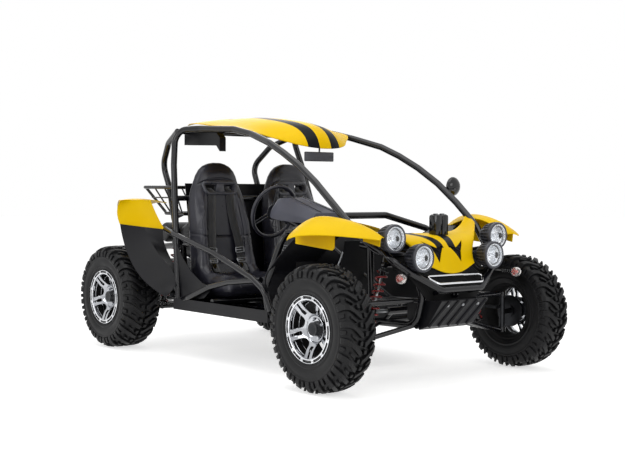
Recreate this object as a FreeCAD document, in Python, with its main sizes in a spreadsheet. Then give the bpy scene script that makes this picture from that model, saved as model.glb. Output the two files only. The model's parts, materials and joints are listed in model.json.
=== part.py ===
import FreeCAD, Part
import math
import os

import Sketcher
from FreeCAD import Placement, Rotation, Vector

# A two-seat dune buggy: a welded tube frame and cage, moulded body panels, two bucket
# seats, double wishbone suspension and four lugged tyres. Millimetres, X towards the
# nose, Y to the driver's left, Z up, origin on the ground midway between the axles.

SIZES = (
    ("wheelbase", 2050.0, "between the axles"),
    ("front_track", 1430.0, "between the front tyres' centre planes"),
    ("rear_track", 1280.0, "between the rear tyres' centre planes"),
    ("roof_height", 1430.0, "ground to the crown of the roof"),
    ("tyre_diameter", 630.0, "over the lugs"),
    ("front_tyre_width", 200.0, "over the front tyre's shoulders"),
    ("rear_tyre_width", 250.0, "over the rear tyre's shoulders"),
    ("lug_depth", 40.0, "from the lugs' tips in to their roots inside the carcass"),
    ("rim_seat_diameter", 304.0, "where the tyre's beads sit"),
    ("rim_lip_diameter", 332.0, "over the rim's lips"),
    ("rim_wall", 6.0, "of the rim's barrel"),
    ("rim_recess", 60.0, "from the outer lip back to the wheel's face"),
    ("rim_face", 14.0, "thickness of the wheel's face"),
    ("dish_edge", 5.0, "from the outer lip back to the spokes' outer ends"),
    ("dish_knee", 30.0, "from the outer lip back to the spokes' inner ends"),
    ("dish_knee_radius", 82.0, "at the spokes' inner ends"),
    ("window_root", 74.0, "radius at the windows' inner edge"),
    ("spoke_span", 56.0, "over one split spoke"),
    ("slot_width", 16.0, "of the slot that splits a spoke"),
    ("rim_inset", 9.0, "from the tyre's shoulder in to the rim's lip"),
    ("hub_diameter", 64.0, "of the wheel hub's barrel"),
    ("hub_cap_diameter", 66.0, "of the black centre cap"),
    ("hub_cap_height", 28.0, "of the black centre cap"),
    ("disc_diameter", 176.0, "of the brake disc"),
    ("disc_thickness", 6.0, "of the brake disc"),
    ("axle_diameter", 28.0, "of the stub axle and half shaft"),
    ("running_gap", 0.6, "all round a shaft in its bore"),
    ("seat_gap", 0.3, "between a piece and what it rests on"),
    ("kingpin_offset", 115.0, "from the kingpin out to the tyre's centre plane"),
    ("kingpin_diameter", 32.0, "of the knuckle's post"),
    ("pin_diameter", 16.0, "of the knuckle's two pins"),
    ("joint_diameter", 42.0, "of the ball joint housings"),
    ("joint_height", 25.0, "of the ball joint housings"),
    ("kingpin_height", 170.0, "of the knuckle's post between its pins"),
    ("steering_arm", 110.0, "from the kingpin back to the rod's end"),
    ("arm_bar", 16.0, "thickness of the steering arm"),
    ("rod_diameter", 16.0, "of the tie rods"),
    ("rack_diameter", 20.0, "of the sliding rack"),
    ("rack_housing", 44.0, "outer diameter of the rack's housing"),
    ("main_tube", 38.0, "outer diameter of frame and cage tubes"),
    ("side_tube", 32.0, "outer diameter of door bars and bumper"),
    ("thin_tube", 22.0, "outer diameter of rack and bumper ring"),
    ("wire_bar", 10.0, "diameter of the rack's bars"),
    ("arm_tube", 26.0, "outer diameter of the wishbones"),
    ("bend", 90.0, "radius of the tubes' bends on the centre line"),
    ("tight_bend", 45.0, "radius of the small tubes' bends"),
    ("panel", 4.0, "thickness of moulded panels and sheet"),
    ("sill_lip", 66.0, "height of the floor pan's side lips"),
    ("skid_rib", 9.0, "height of the ribs on the skid plate"),
    ("lamp_diameter", 138.0, "of the headlamps' bezels"),
    ("lamp_depth", 104.0, "of the headlamps' housings"),
    ("lamp_lens", 106.0, "diameter of the headlamps' glass"),
    ("lamp_wall", 8.0, "of the headlamps' bezels"),
    ("lamp_fin", 4.0, "height of the fins round the housings"),
    ("wheel_ring", 300.0, "diameter of the steering wheel on its rim's centre line"),
    ("ring_grip", 26.0, "thickness of the steering wheel's rim"),
    ("spoke_width", 22.0, "of the steering wheel's spokes"),
    ("column_diameter", 44.0, "of the steering column"),
    ("column_length", 430.0, "from the steering wheel to the joint"),
    ("column_stub", 60.0, "from the steering wheel's plane to the column's housing"),
    ("shaft_diameter", 20.0, "of the lower steering shaft"),
    ("seat_width", 460.0, "over the cushion's side bolsters"),
    ("bolster", 60.0, "width of the seat's side bolsters"),
    ("belt_width", 46.0, "of the harness webbing"),
    ("belt_thickness", 2.5, "of the harness webbing"),
    ("spring_diameter", 62.0, "over the coil springs"),
    ("damper_diameter", 34.0, "of the dampers' bodies"),
    ("damper_rod", 14.0, "of the dampers' rods"),
    ("cover_diameter", 236.0, "of the engine's round side covers"),
    ("drive_diameter", 200.0, "of the final drive's drum"),
    ("muffler_diameter", 130.0, "of the silencer"),
    ("muffler_length", 420.0, "of the silencer"),
    ("hitch_bore", 16.0, "diameter of the hitch plate's hole"),
    ("hitch_thickness", 8.0, "of the hitch plate"),
    ("tow_bore", 14.0, "diameter of the front tow eye"),
    ("overrun", 30.0, "how far a cut runs past what it cuts"),
)

# The body's tables give places in metres of the real buggy: a share of its module in
# each direction, which follows the wheelbase, the front track and the roof's height.
WHEELBASE_SHARE = 2.05
TRACK_SHARE = 1.43
HEIGHT_SHARE = 1.43
RUN_SHARE = 0.45

document = FreeCAD.newDocument("dune_buggy")
sheet = document.addObject("Spreadsheet::Sheet", "sizes")
for row, (alias, number, note) in enumerate(SIZES, start=1):
    sheet.set(f"A{row}", note)
    sheet.set(f"B{row}", str(number))
    sheet.setAlias(f"B{row}", alias)
document.recompute()


def size(alias):
    return float(getattr(sheet, alias))


LENGTH = size("wheelbase") / WHEELBASE_SHARE
WIDTH = size("front_track") / TRACK_SHARE
HEIGHT = size("roof_height") / HEIGHT_SHARE
AXLE_X = size("wheelbase") / 2
AXLE_Z = size("tyre_diameter") / 2
KINGPIN_Y = size("front_track") / 2 - size("kingpin_offset")
MIDDLE = Vector(0, 0, 0)
ACROSS = Vector(0, 1, 0)
FORWARD = Vector(1, 0, 0)
UP = Vector(0, 0, 1)
pieces = []


def place(x_share, y_share, z_share):
    return Vector(x_share * LENGTH, y_share * WIDTH, z_share * HEIGHT)


def places(shares):
    return [place(*share) for share in shares]


def toward(vector, length):
    return Vector(vector).normalize() * length


def mirrored(shape):
    return shape.mirror(MIDDLE, ACROSS)


def both_sides(shape):
    return Part.makeCompound([shape, mirrored(shape)])


def fused(shapes):
    return shapes[0].multiFuse(shapes[1:])


def largest(shape):
    return max(shape.Solids, key=lambda solid: solid.Volume)


def add_piece(name, shape):
    feature = document.addObject("Part::Feature", name)
    feature.Label = name
    feature.Shape = shape
    feature.Placement = Placement()
    pieces.append(feature)
    return feature.Shape


def bent_path(points, bend):
    """Straight runs joined by arcs that touch both of them."""
    edges = []
    start = points[0]
    for before, corner, after in zip(points, points[1:], points[2:]):
        back = before - corner
        ahead = after - corner
        half_turn = (math.pi - back.getAngle(ahead)) / 2
        shorter = min(back.Length, ahead.Length)
        reach = min(bend * math.tan(half_turn), RUN_SHARE * shorter)
        radius = reach / math.tan(half_turn)
        inward = toward(toward(back, 1) + toward(ahead, 1), 1)
        entry = corner + toward(back, reach)
        leave = corner + toward(ahead, reach)
        middle = corner + inward * (radius / math.cos(half_turn) - radius)
        edges.append(Part.LineSegment(start, entry).toShape())
        edges.append(Part.Arc(entry, middle, leave).toShape())
        start = leave
    edges.append(Part.LineSegment(start, points[-1]).toShape())
    return Part.Wire(edges)


def tube(points, diameter, bend):
    """A round tube along bent runs, closed at its ends."""
    path = bent_path(points, bend)
    ring = Part.Wire(Part.makeCircle(diameter / 2, points[0], points[1] - points[0]))
    return path.makePipeShell([ring], True, False)


def bar(start, end, diameter):
    along = end - start
    return Part.makeCylinder(diameter / 2, along.Length, start, along)


def plate(corners, depth):
    """A flat plate: its outline pushed along a vector."""
    outline = Part.makePolygon(corners + [corners[0]])
    return Part.Face(outline).extrude(depth)


def skin(grid, depth):
    """A curved panel: a smooth surface through a grid of places, pushed along a vector."""
    surface = Part.BSplineSurface()
    surface.interpolate(grid)
    return surface.toShape().extrude(depth)


def mirror_rows(half_rows):
    """Whole rows across the buggy from rows that run from the edge in to the middle."""
    rows = []
    for half in half_rows:
        left = [place(x, y, z) for x, y, z in half]
        right = [place(x, -y, z) for x, y, z in reversed(half[:-1])]
        rows.append(left + right)
    return rows


def strip(first, second, depth):
    """A ruled strip between two smooth edges, pushed along a vector."""
    curves = []
    for shares in (first, second):
        curve = Part.BSplineCurve()
        curve.interpolate(places(shares))
        curves.append(curve.toShape())
    return Part.makeRuledSurface(*curves).extrude(depth)


def origin_plane(body, role):
    return next(item for item in body.Origin.OriginFeatures if item.Role == role)


def outline_sketch(body, name, role, corners):
    """A closed outline whose corners are held by the sizes they are written in."""
    sketch = body.newObject("Sketcher::SketchObject", name)
    sketch.AttachmentSupport = (origin_plane(body, role), [""])
    sketch.MapMode = "FlatFace"
    spots = [[float(sheet.evalExpression(value)) for value in corner] for corner in corners]
    count = len(corners)
    for index in range(count):
        start = Vector(*spots[index], 0)
        end = Vector(*spots[(index + 1) % count], 0)
        sketch.addGeometry(Part.LineSegment(start, end), False)
    for index in range(count):
        sketch.addConstraint(Sketcher.Constraint("Coincident", index, 2, (index + 1) % count, 1))
    for index, (spot, corner) in enumerate(zip(spots, corners)):
        for kind, axis, value, text in zip(("DistanceX", "DistanceY"), (-2, -1), spot, corner):
            if value == 0:
                sketch.addConstraint(Sketcher.Constraint("PointOnObject", index, 1, axis))
                continue
            held = sketch.addConstraint(Sketcher.Constraint(kind, -1, 1, index, 1, value))
            sketch.setExpression(f"Constraints[{held}]", in_sheet(text))
    return sketch


def in_sheet(text):
    """The same sum, read from the sizes sheet by an object outside it."""
    for alias in sorted((entry[0] for entry in SIZES), key=len, reverse=True):
        text = replace_word(text, alias)
    return text


def replace_word(text, alias):
    words = text.split(" ")
    return " ".join(f"sizes.{word}" if word == alias else word for word in words)


def turned_body(name, corners, role="XY_Plane", axis="V_Axis"):
    """A body turned about an axis of its sketch from an outline held by the sheet."""
    body = document.addObject("PartDesign::Body", name)
    body.Label = name
    sketch = outline_sketch(body, name + "_outline", role, corners)
    turn = body.newObject("PartDesign::Revolution", name + "_turn")
    turn.Profile = sketch
    turn.ReferenceAxis = (sketch, [axis])
    turn.Angle = 360
    body.Tip = turn
    document.recompute()
    return body


def moved_copy(shape, placement):
    copy = shape.copy()
    copy.Placement = placement.multiply(copy.Placement)
    return copy


# Wheels

SIDES = (("left", 1), ("right", -1))
WHEEL_ENDS = (("front", 1), ("rear", -1))


def wheel_placement(end, side):
    """A wheel's own Y axis points outboard at its centre."""
    half_track = size(end + "_track") / 2
    reach = AXLE_X if end == "front" else -AXLE_X
    turn = Rotation() if side > 0 else Rotation(UP, 180)
    return Placement(Vector(reach, side * half_track, AXLE_Z), turn)


def bead_place(end):
    """Where the tyre's bead stands against the rim's flange."""
    return f"{end}_tyre_width / 2 - rim_inset - rim_wall - seat_gap"


def tyre_outline(end):
    """Radius and width of a tyre's section, from the bead up the flank to the crown."""
    reach = "( tyre_diameter - rim_seat_diameter ) / 2"
    outer = [
        ("rim_seat_diameter / 2 + seat_gap", bead_place(end)),
        ("rim_lip_diameter / 2 + seat_gap", bead_place(end)),
    ]
    for out, up in FLANK_SHARES:
        outer.append((f"rim_seat_diameter / 2 + {up} * {reach}", f"{out} * {end}_tyre_width"))
    inner = [(radius, f"-1 * ( {across} )") for radius, across in reversed(outer)]
    return outer + inner


FLANK_SHARES = ((0.475, 0.16), (0.50, 0.48), (0.475, 0.70), (0.42, 0.83), (0.28, 0.905))
LUG_FLANK_SHARES = ((0.50, 0.55), (0.49, 0.79), (0.46, 0.91), (0.35, 1.00), (0.0, 1.00))
PITCH_COUNT = 22
CLAW_SHARES = (
    (0.02, -0.42), (0.24, 0.02), (0.40, 0.29), (0.52, 0.31), (0.52, -0.02), (0.38, -0.03), (0.22, -0.29),
    (0.02, -0.66),
)


def envelope(end):
    """The ring that the lugs' outer faces lie on."""
    seat = size("rim_seat_diameter") / 2
    reach = size("tyre_diameter") / 2 - seat
    width = size(end + "_tyre_width")
    outer = [Vector(seat + up * reach, out * width, 0) for out, up in LUG_FLANK_SHARES]
    root = [Vector(seat + LUG_FLANK_SHARES[0][1] * reach, 0, 0)]
    return Part.Face(Part.makePolygon(root + outer + root)).revolve(MIDDLE, ACROSS, 360)


def claw(end, turn_share, hand):
    """One curved lug of the outer half of a tread, standing out to its envelope."""
    tip = size("tyre_diameter") / 2
    width = size(end + "_tyre_width")
    pitch = 2 * math.pi * tip / PITCH_COUNT
    top = tip + size("running_gap")
    corners = [Vector(hand * along * pitch, out * width, top) for out, along in CLAW_SHARES]
    block = plate(corners, UP * -size("lug_depth"))
    return moved_copy(block, Placement(MIDDLE, Rotation(ACROSS, turn_share * 360 / PITCH_COUNT)))


def tread(end, hand):
    """Two rows of claws, half a pitch apart, that roll the same way on both sides."""
    ring = envelope(end)
    outer = [claw(end, index, hand).common(ring) for index in range(PITCH_COUNT)]
    shift = Placement(MIDDLE, Rotation(ACROSS, 180 / PITCH_COUNT))
    return outer + [moved_copy(mirrored(block), shift) for block in outer]


def make_tyre(end, name_side, side):
    name = f"tyre_{end}_{name_side}"
    carcass = turned_body(name + "_carcass", tyre_outline(end)).Shape
    feature = document.addObject("Part::Feature", name)
    feature.Label = name
    feature.Shape = largest(carcass.multiFuse(tread(end, -side)))
    feature.Placement = wheel_placement(end, side)
    pieces.append(feature)


def rim_outline(end):
    """The rim's barrel with its two flanges and the wheel's dished face."""
    lip = "rim_lip_diameter / 2"
    seat = "rim_seat_diameter / 2"
    inside = "rim_seat_diameter / 2 - rim_wall"
    edge = f"{end}_tyre_width / 2 - rim_inset"
    flange = f"{edge} - rim_wall"
    face = f"{edge} - rim_recess"
    hub = "hub_diameter / 2 + rim_face"
    return [
        (lip, edge), (lip, flange), (seat, flange),
        (seat, f"-1 * ( {flange} )"), (lip, f"-1 * ( {flange} )"), (lip, f"-1 * ( {edge} )"),
        (inside, f"-1 * ( {edge} )"), (inside, f"{edge} - dish_edge - rim_face"),
        ("dish_knee_radius", f"{edge} - dish_knee - rim_face"), (hub, f"{face} - rim_face"),
        ("0", f"{face} - rim_face"), ("0", face), (hub, face),
        ("dish_knee_radius", f"{edge} - dish_knee"), (inside, f"{edge} - dish_edge"), (inside, edge),
    ]


def along_y(edge):
    direction = edge.Vertexes[0].Point - edge.Vertexes[-1].Point
    return abs(direction.x) < abs(direction.y) and abs(direction.z) < abs(direction.y)


def face_cutter(end, outline):
    """A cutter through the wheel's face: radius and angle pairs pushed along the axle."""
    low = size(end + "_tyre_width") / 2 - size("rim_inset") - size("rim_recess") - size("overrun")
    corners = [Vector(radius * math.sin(angle), low, radius * math.cos(angle)) for radius, angle in outline]
    block = plate(corners, ACROSS * (size("rim_recess") + 2 * size("overrun")))
    return block.makeFillet(size("slot_width") / 2 - size("seat_gap"), [e for e in block.Edges if along_y(e)])


def window_outline():
    """Between two split spokes, from the hub's dome out to the ring."""
    inner = size("window_root")
    outer = size("rim_seat_diameter") / 2 - size("rim_wall") - size("dish_edge")
    corners = []
    for hand, radii in ((-1, (inner, outer)), (1, (outer, inner))):
        for radius in radii:
            angle = math.pi / SPOKE_COUNT - math.asin(size("spoke_span") / 2 / radius)
            corners.append((radius, hand * angle))
    return corners


def slot_outline():
    """The slot that splits a spoke into two prongs."""
    inner = size("dish_knee_radius")
    outer = size("rim_seat_diameter") / 2 - size("rim_wall") - size("dish_edge")
    half = size("slot_width") / 2
    middle = math.pi / SPOKE_COUNT
    corners = [(radius, middle - math.asin(half / radius)) for radius in (inner, outer)]
    return corners + [(radius, middle + math.asin(half / radius)) for radius in (outer, inner)]


SPOKE_COUNT = 5


def make_rim(end, name_side, side):
    """A cast rim: the turned blank less five windows and the slots of five split spokes."""
    name = f"rim_{end}_{name_side}"
    blank = turned_body(name + "_blank", rim_outline(end)).Shape
    cutters = [face_cutter(end, window_outline()), face_cutter(end, slot_outline())]
    holes = []
    for index in range(SPOKE_COUNT):
        turn = Placement(MIDDLE, Rotation(ACROSS, 360 * index / SPOKE_COUNT))
        holes += [moved_copy(cutter, turn) for cutter in cutters]
    feature = document.addObject("Part::Feature", name)
    feature.Label = name
    feature.Shape = blank.cut(holes)
    feature.Placement = wheel_placement(end, side)
    pieces.append(feature)


def hub_shape(end):
    """Hub barrel, brake disc and cap, with a bore at the front and a half shaft behind."""
    face = size(end + "_tyre_width") / 2 - size("rim_inset") - size("rim_recess")
    back = face - size("rim_face")
    inner = -size("kingpin_offset") / 2 if end == "front" else -size("kingpin_offset")
    barrel = Part.makeCylinder(size("hub_diameter") / 2, back - inner, ACROSS * inner, ACROSS)
    disc_at = inner + size("disc_thickness")
    disc = Part.makeCylinder(size("disc_diameter") / 2, size("disc_thickness"), ACROSS * disc_at, ACROSS)
    if end == "front":
        bore = Part.makeCylinder(
            size("axle_diameter") / 2 + size("running_gap"),
            back - inner - size("rim_face"), ACROSS * inner, ACROSS,
        )
        return barrel.fuse(disc).cut(bore)
    shaft_end = -size("rear_track") / 2 + engine_side() + size("running_gap") + size("axle_diameter") / 2
    shaft = Part.makeCylinder(size("axle_diameter") / 2, inner - shaft_end, ACROSS * shaft_end, ACROSS)
    boot = Part.makeCone(
        size("hub_diameter") / 2, size("axle_diameter") / 2, size("hub_diameter"),
        ACROSS * shaft_end, ACROSS,
    )
    return fused([barrel, disc, shaft, boot])


def cap_shape(end):
    face = size(end + "_tyre_width") / 2 - size("rim_inset") - size("rim_recess")
    return Part.makeCylinder(size("hub_cap_diameter") / 2, size("hub_cap_height"), ACROSS * face, ACROSS)


def make_hub(end, name_side, side):
    feature = document.addObject("Part::Feature", f"hub_{end}_{name_side}")
    feature.Label = f"hub_{end}_{name_side}"
    feature.Shape = Part.makeCompound([hub_shape(end), cap_shape(end)])
    feature.Placement = wheel_placement(end, side)
    pieces.append(feature)


# Frame and cage

ENGINE_SHARES = ((-1.15, -0.235, 0.285), (-0.68, 0.235, 0.78))


def engine_side():
    return ENGINE_SHARES[1][1] * WIDTH


FRAME_RAIL_SHARES = (
    (0.80, 0.255, 0.70), (1.11, 0.225, 0.665), (1.185, 0.185, 0.46), (1.14, 0.185, 0.30),
    (0.44, 0.26, 0.30), (-0.48, 0.26, 0.30), (-0.64, 0.25, 0.245), (-1.19, 0.24, 0.245),
    (-1.24, 0.25, 0.60), (-0.56, 0.30, 0.66),
)
SILL_SHARES = ((-0.46, 0.575, 0.32), (0.42, 0.575, 0.32), (0.68, 0.245, 0.30))
FRAME_POST_SHARES = (
    ((0.86, 0.235, 0.30), (0.86, 0.25, 0.70)),
    ((-0.85, 0.25, 0.245), (-0.85, 0.285, 0.63)),
)
CROSS_SHARES = (
    (0.42, 0.575, 0.32), (-0.46, 0.575, 0.32), (0.86, 0.235, 0.30), (1.14, 0.185, 0.30),
    (1.17, 0.19, 0.46), (1.11, 0.225, 0.665), (-1.17, 0.24, 0.267), (-1.225, 0.25, 0.60),
    (-0.62, 0.295, 0.655), (-0.37, 0.575, 0.325), (-0.11, 0.575, 0.345),
)
ARM_RAIL_SHARES = ((0.86, 0.24, 0.43), (1.178, 0.19, 0.43))
TOWER_SHARES = ((0.98, 0.235, 0.685), (1.025, 0.30, 0.61))


def cross_tube(share, diameter):
    x, y, z = share
    return bar(place(x, -y, z), place(x, y, z), diameter)


def make_chassis_frame():
    """Two long rails that rise at nose and tail, sills, cross tubes and posts."""
    main = size("main_tube")
    half = [tube(places(FRAME_RAIL_SHARES), main, size("bend"))]
    half.append(tube(places(SILL_SHARES), main, size("bend")))
    half.append(bar(*places(ARM_RAIL_SHARES), size("arm_tube")))
    half.append(bar(*places(TOWER_SHARES), main))
    for post in FRAME_POST_SHARES:
        half.append(bar(*places(post), main))
    shapes = half + [mirrored(shape) for shape in half]
    shapes += [cross_tube(share, size("side_tube")) for share in CROSS_SHARES]
    shapes.append(cross_tube(TOWER_SHARES[1], size("side_tube")))
    shapes.append(hitch_plate())
    shapes.append(tow_eye())
    return add_piece("chassis_frame", fused(shapes))


HITCH_SHARE = (-1.17, 0.0, 0.267)
HITCH_REACH_SHARE = 0.105
HITCH_HALF_SHARE = 0.045


def hitch_bore_centre():
    return place(*HITCH_SHARE) - FORWARD * (HITCH_REACH_SHARE * LENGTH)


def hitch_plate():
    """A flat tongue welded to the rear cross tube, with one upright hole."""
    centre = hitch_bore_centre()
    half = HITCH_HALF_SHARE * WIDTH
    thickness = size("hitch_thickness")
    base = place(*HITCH_SHARE)
    block = Part.makeBox(base.x - centre.x, 2 * half, thickness, Vector(centre.x, -half, base.z - thickness / 2))
    nose = Part.makeCylinder(half, thickness, Vector(centre.x, 0, base.z - thickness / 2))
    bore = Part.makeCylinder(
        size("hitch_bore") / 2, thickness + 2 * size("overrun"),
        Vector(centre.x, 0, base.z - thickness / 2 - size("overrun")),
    )
    return block.fuse(nose).cut(bore)


TOW_SHARE = (1.17, 0.0, 0.46)
TOW_REACH_SHARE = 0.062
TOW_RADIUS_SHARE = 0.02


def tow_eye():
    """An upright lug on the nose's cross tube, bored across for a shackle."""
    base = place(*TOW_SHARE)
    eye = base + FORWARD * (TOW_REACH_SHARE * LENGTH)
    radius = TOW_RADIUS_SHARE * HEIGHT
    thickness = size("hitch_thickness")
    start = ACROSS * (thickness / 2)
    lug = Part.makeBox(eye.x - base.x, thickness, 2 * radius, base - start - UP * radius)
    lug = lug.fuse(Part.makeCylinder(radius, thickness, eye - start, ACROSS))
    bore = Part.makeCylinder(
        size("tow_bore") / 2, thickness + 2 * size("overrun"), eye - start - ACROSS * size("overrun"), ACROSS,
    )
    return lug.cut(bore)


CAGE_SIDE_SHARES = (
    (-0.455, 0.575, 0.32), (-0.525, 0.55, 0.75), (-0.625, 0.50, 1.13), (-0.68, 0.455, 1.345),
    (-0.49, 0.40, 1.347), (-0.18, 0.375, 1.335), (0.0, 0.38, 1.30), (0.22, 0.42, 1.243),
    (0.36, 0.435, 1.187), (0.51, 0.445, 1.115), (0.66, 0.455, 1.025), (0.80, 0.46, 0.92),
    (0.96, 0.455, 0.79), (1.09, 0.40, 0.675), (1.10, 0.225, 0.665),
)
CAGE_REAR_SHARES = (
    (-0.66, 0.45, 1.335), (-0.84, 0.40, 1.27), (-0.975, 0.355, 1.136), (-0.905, 0.35, 0.99),
    (-0.885, 0.33, 0.80), (-0.88, 0.285, 0.625),
)
CAGE_CROSS_SHARES = ((-0.66, 0.45, 1.335), (-0.573, 0.525, 0.93))
DASH_HOOP_SHARES = (
    (0.42, 0.575, 0.33), (0.385, 0.575, 0.46), (0.47, 0.575, 0.61), (0.52, 0.55, 0.755),
    (0.52, 0.18, 0.845),
)
FENDER_RAIL_SHARES = ((0.52, 0.54, 0.765), (0.97, 0.455, 0.785))


def make_roll_cage():
    """One long tube each side, from the sill over the roof and down to the nose."""
    main = size("main_tube")
    half = [tube(places(CAGE_SIDE_SHARES), main, size("bend"))]
    half.append(tube(places(CAGE_REAR_SHARES), main, size("bend")))
    half.append(bar(*places(FENDER_RAIL_SHARES), size("thin_tube")))
    shapes = half + [mirrored(shape) for shape in half]
    shapes += [cross_tube(share, size("side_tube")) for share in CAGE_CROSS_SHARES]
    dash = places(DASH_HOOP_SHARES)
    far_dash = [Vector(point.x, -point.y, point.z) for point in reversed(dash)]
    shapes.append(tube(dash + far_dash, main, size("bend")))
    return add_piece("roll_cage", fused(shapes).cut(frame))


DOOR_BAR_SHARES = (
    (-0.63, 0.555, 0.745), (-0.50, 0.585, 0.72), (-0.07, 0.60, 0.63), (0.30, 0.60, 0.51),
    (0.41, 0.60, 0.45), (0.45, 0.585, 0.34),
)
LOWER_BAR_SHARES = (
    (-0.44, 0.575, 0.33), (-0.32, 0.595, 0.355), (-0.12, 0.585, 0.43), (0.05, 0.58, 0.468),
    (0.35, 0.575, 0.50),
)


def make_side_bars():
    """The slanting door bar and the low curved bar beside each seat."""
    half = tube(places(DOOR_BAR_SHARES), size("side_tube"), size("bend"))
    half = half.fuse(tube(places(LOWER_BAR_SHARES), size("side_tube"), size("bend")))
    half = half.cut([frame, cage])
    return add_piece("side_bars", both_sides(half))


FLOOR_OUTLINE_SHARES = (
    (-0.475, -0.597), (0.44, -0.597), (0.66, -0.33), (0.66, 0.33), (0.44, 0.597), (-0.475, 0.597),
)
TOE_BOARD_SHARES = ((0.66, 0.281), (0.755, 0.72))
TOE_WIDTH_SHARE = 0.33


def make_floor_pan():
    """A flat tray under the frame, its side lips and the toe board in front."""
    thickness = size("panel")
    top = FRAME_RAIL_SHARES[4][2] * HEIGHT - size("main_tube") / 2 - size("seat_gap")
    corners = [Vector(x * LENGTH, y * WIDTH, top - thickness) for x, y in FLOOR_OUTLINE_SHARES]
    tray = plate(corners, UP * thickness)
    lip_side = SILL_SHARES[0][1] * WIDTH + size("main_tube") / 2 + size("seat_gap")
    lip_back = FLOOR_OUTLINE_SHARES[0][0] * LENGTH
    lip_length = (FLOOR_OUTLINE_SHARES[1][0] - FLOOR_OUTLINE_SHARES[0][0]) * LENGTH
    lip = Part.makeBox(lip_length, thickness, size("sill_lip"), Vector(lip_back, lip_side, top - thickness))
    half = TOE_WIDTH_SHARE * WIDTH
    (low_x, low_z), (high_x, high_z) = TOE_BOARD_SHARES
    low_z_at = top - thickness
    toe = plate(
        [
            Vector(low_x * LENGTH - thickness, -half, low_z_at),
            Vector(low_x * LENGTH, -half, low_z_at),
            Vector(high_x * LENGTH, -half, high_z * HEIGHT),
            Vector(high_x * LENGTH - thickness, -half, high_z * HEIGHT),
        ],
        ACROSS * (2 * half),
    )
    shape = fused([tray, lip, mirrored(lip), toe])
    return add_piece("floor_pan", largest(shape.cut([frame, cage, bars, column])))


BULKHEAD_SHARES = ((-0.486, 0.301), (-0.592, 0.93), (-0.607, 1.02))
BULKHEAD_WIDTH_SHARE = 0.42
HIP_PANEL_INSET_SHARE = 0.012
SIDE_PANEL_SHARES = (
    (-0.53, 0.72), (-0.49, 0.66), (-0.42, 0.575), (-0.33, 0.50), (-0.22, 0.445), (-0.115, 0.425),
    (-0.20, 0.36), (-0.44, 0.32),
)


def make_cabin_panels():
    """The sheet behind the seats and a small panel beside each seat's hip."""
    thickness = size("panel")
    half = BULKHEAD_WIDTH_SHARE * WIDTH
    behind = size("side_tube") / 2 + size("seat_gap")
    corners = [Vector(x * LENGTH - behind, -half, z * HEIGHT) for x, z in BULKHEAD_SHARES]
    back = [corner - FORWARD * thickness for corner in reversed(corners)]
    bulkhead = plate(corners + back, ACROSS * (2 * half))
    side = (SILL_SHARES[0][1] - HIP_PANEL_INSET_SHARE) * WIDTH
    corners = [Vector(x * LENGTH, side, z * HEIGHT) for x, z in SIDE_PANEL_SHARES]
    panel = plate(corners, ACROSS * thickness).cut([frame, cage, bars, floor])
    panel = largest(panel)
    bulkhead = bulkhead.cut([frame, cage])
    return add_piece("cabin_panels", Part.makeCompound([bulkhead, panel, mirrored(panel)]))


# Body panels

ROOF_ROWS_SHARES = (
    ((-0.625, 0.40, 1.372), (-0.605, 0.20, 1.412), (-0.59, 0.0, 1.426)),
    ((-0.45, 0.40, 1.372), (-0.44, 0.20, 1.410), (-0.43, 0.0, 1.424)),
    ((-0.18, 0.385, 1.345), (-0.17, 0.20, 1.385), (-0.16, 0.0, 1.405)),
    ((-0.02, 0.36, 1.318), (0.02, 0.18, 1.345), (0.04, 0.0, 1.372)),
    ((0.05, 0.30, 1.29), (0.12, 0.16, 1.302), (0.145, 0.0, 1.325)),
    ((0.10, 0.24, 1.27), (0.18, 0.14, 1.238), (0.205, 0.0, 1.226)),
)


def make_roof_panel():
    """A crowned shield over the cage that droops to a lip over the mirror."""
    depth = Vector(-1, 0, -2).normalize() * size("panel")
    return add_piece("roof_panel", skin(mirror_rows(ROOF_ROWS_SHARES), depth).cut(cage))


ROOF_BOX_SHARES = ((-0.70, 1.33), (-0.36, 1.322), (-0.325, 1.29), (-0.325, 1.21), (-0.36, 1.245), (-0.70, 1.255))
ROOF_BOX_Y_SHARES = (0.33, 0.375)


def make_roof_box():
    """The dark hooked trim under the roof's rear corner, over the driver's shoulder."""
    low, high = ROOF_BOX_Y_SHARES
    corners = [Vector(x * LENGTH, -high * WIDTH, z * HEIGHT) for x, z in ROOF_BOX_SHARES]
    return add_piece("roof_rear_trim", plate(corners, ACROSS * ((high - low) * WIDTH)).cut([cage, roof]))


HOOD_ROWS_SHARES = (
    ((0.885, 0.445, 0.852), (0.945, 0.30, 0.778), (0.965, 0.15, 0.765), (0.97, 0.0, 0.763)),
    ((1.00, 0.395, 0.812), (1.055, 0.275, 0.768), (1.07, 0.14, 0.752), (1.075, 0.0, 0.75)),
    ((1.09, 0.29, 0.762), (1.13, 0.235, 0.73), (1.145, 0.13, 0.718), (1.15, 0.0, 0.716)),
    ((1.15, 0.215, 0.685), (1.172, 0.18, 0.67), (1.186, 0.10, 0.658), (1.19, 0.0, 0.652)),
    ((1.20, 0.18, 0.612), (1.212, 0.14, 0.60), (1.22, 0.08, 0.578), (1.222, 0.0, 0.566)),
)
HOOD_VENT_SHARES = ((0.016, 0.707), (0.07, 0.694), (0.155, 0.731), (0.10, 0.675), (0.08, 0.618), (0.052, 0.665))


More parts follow.
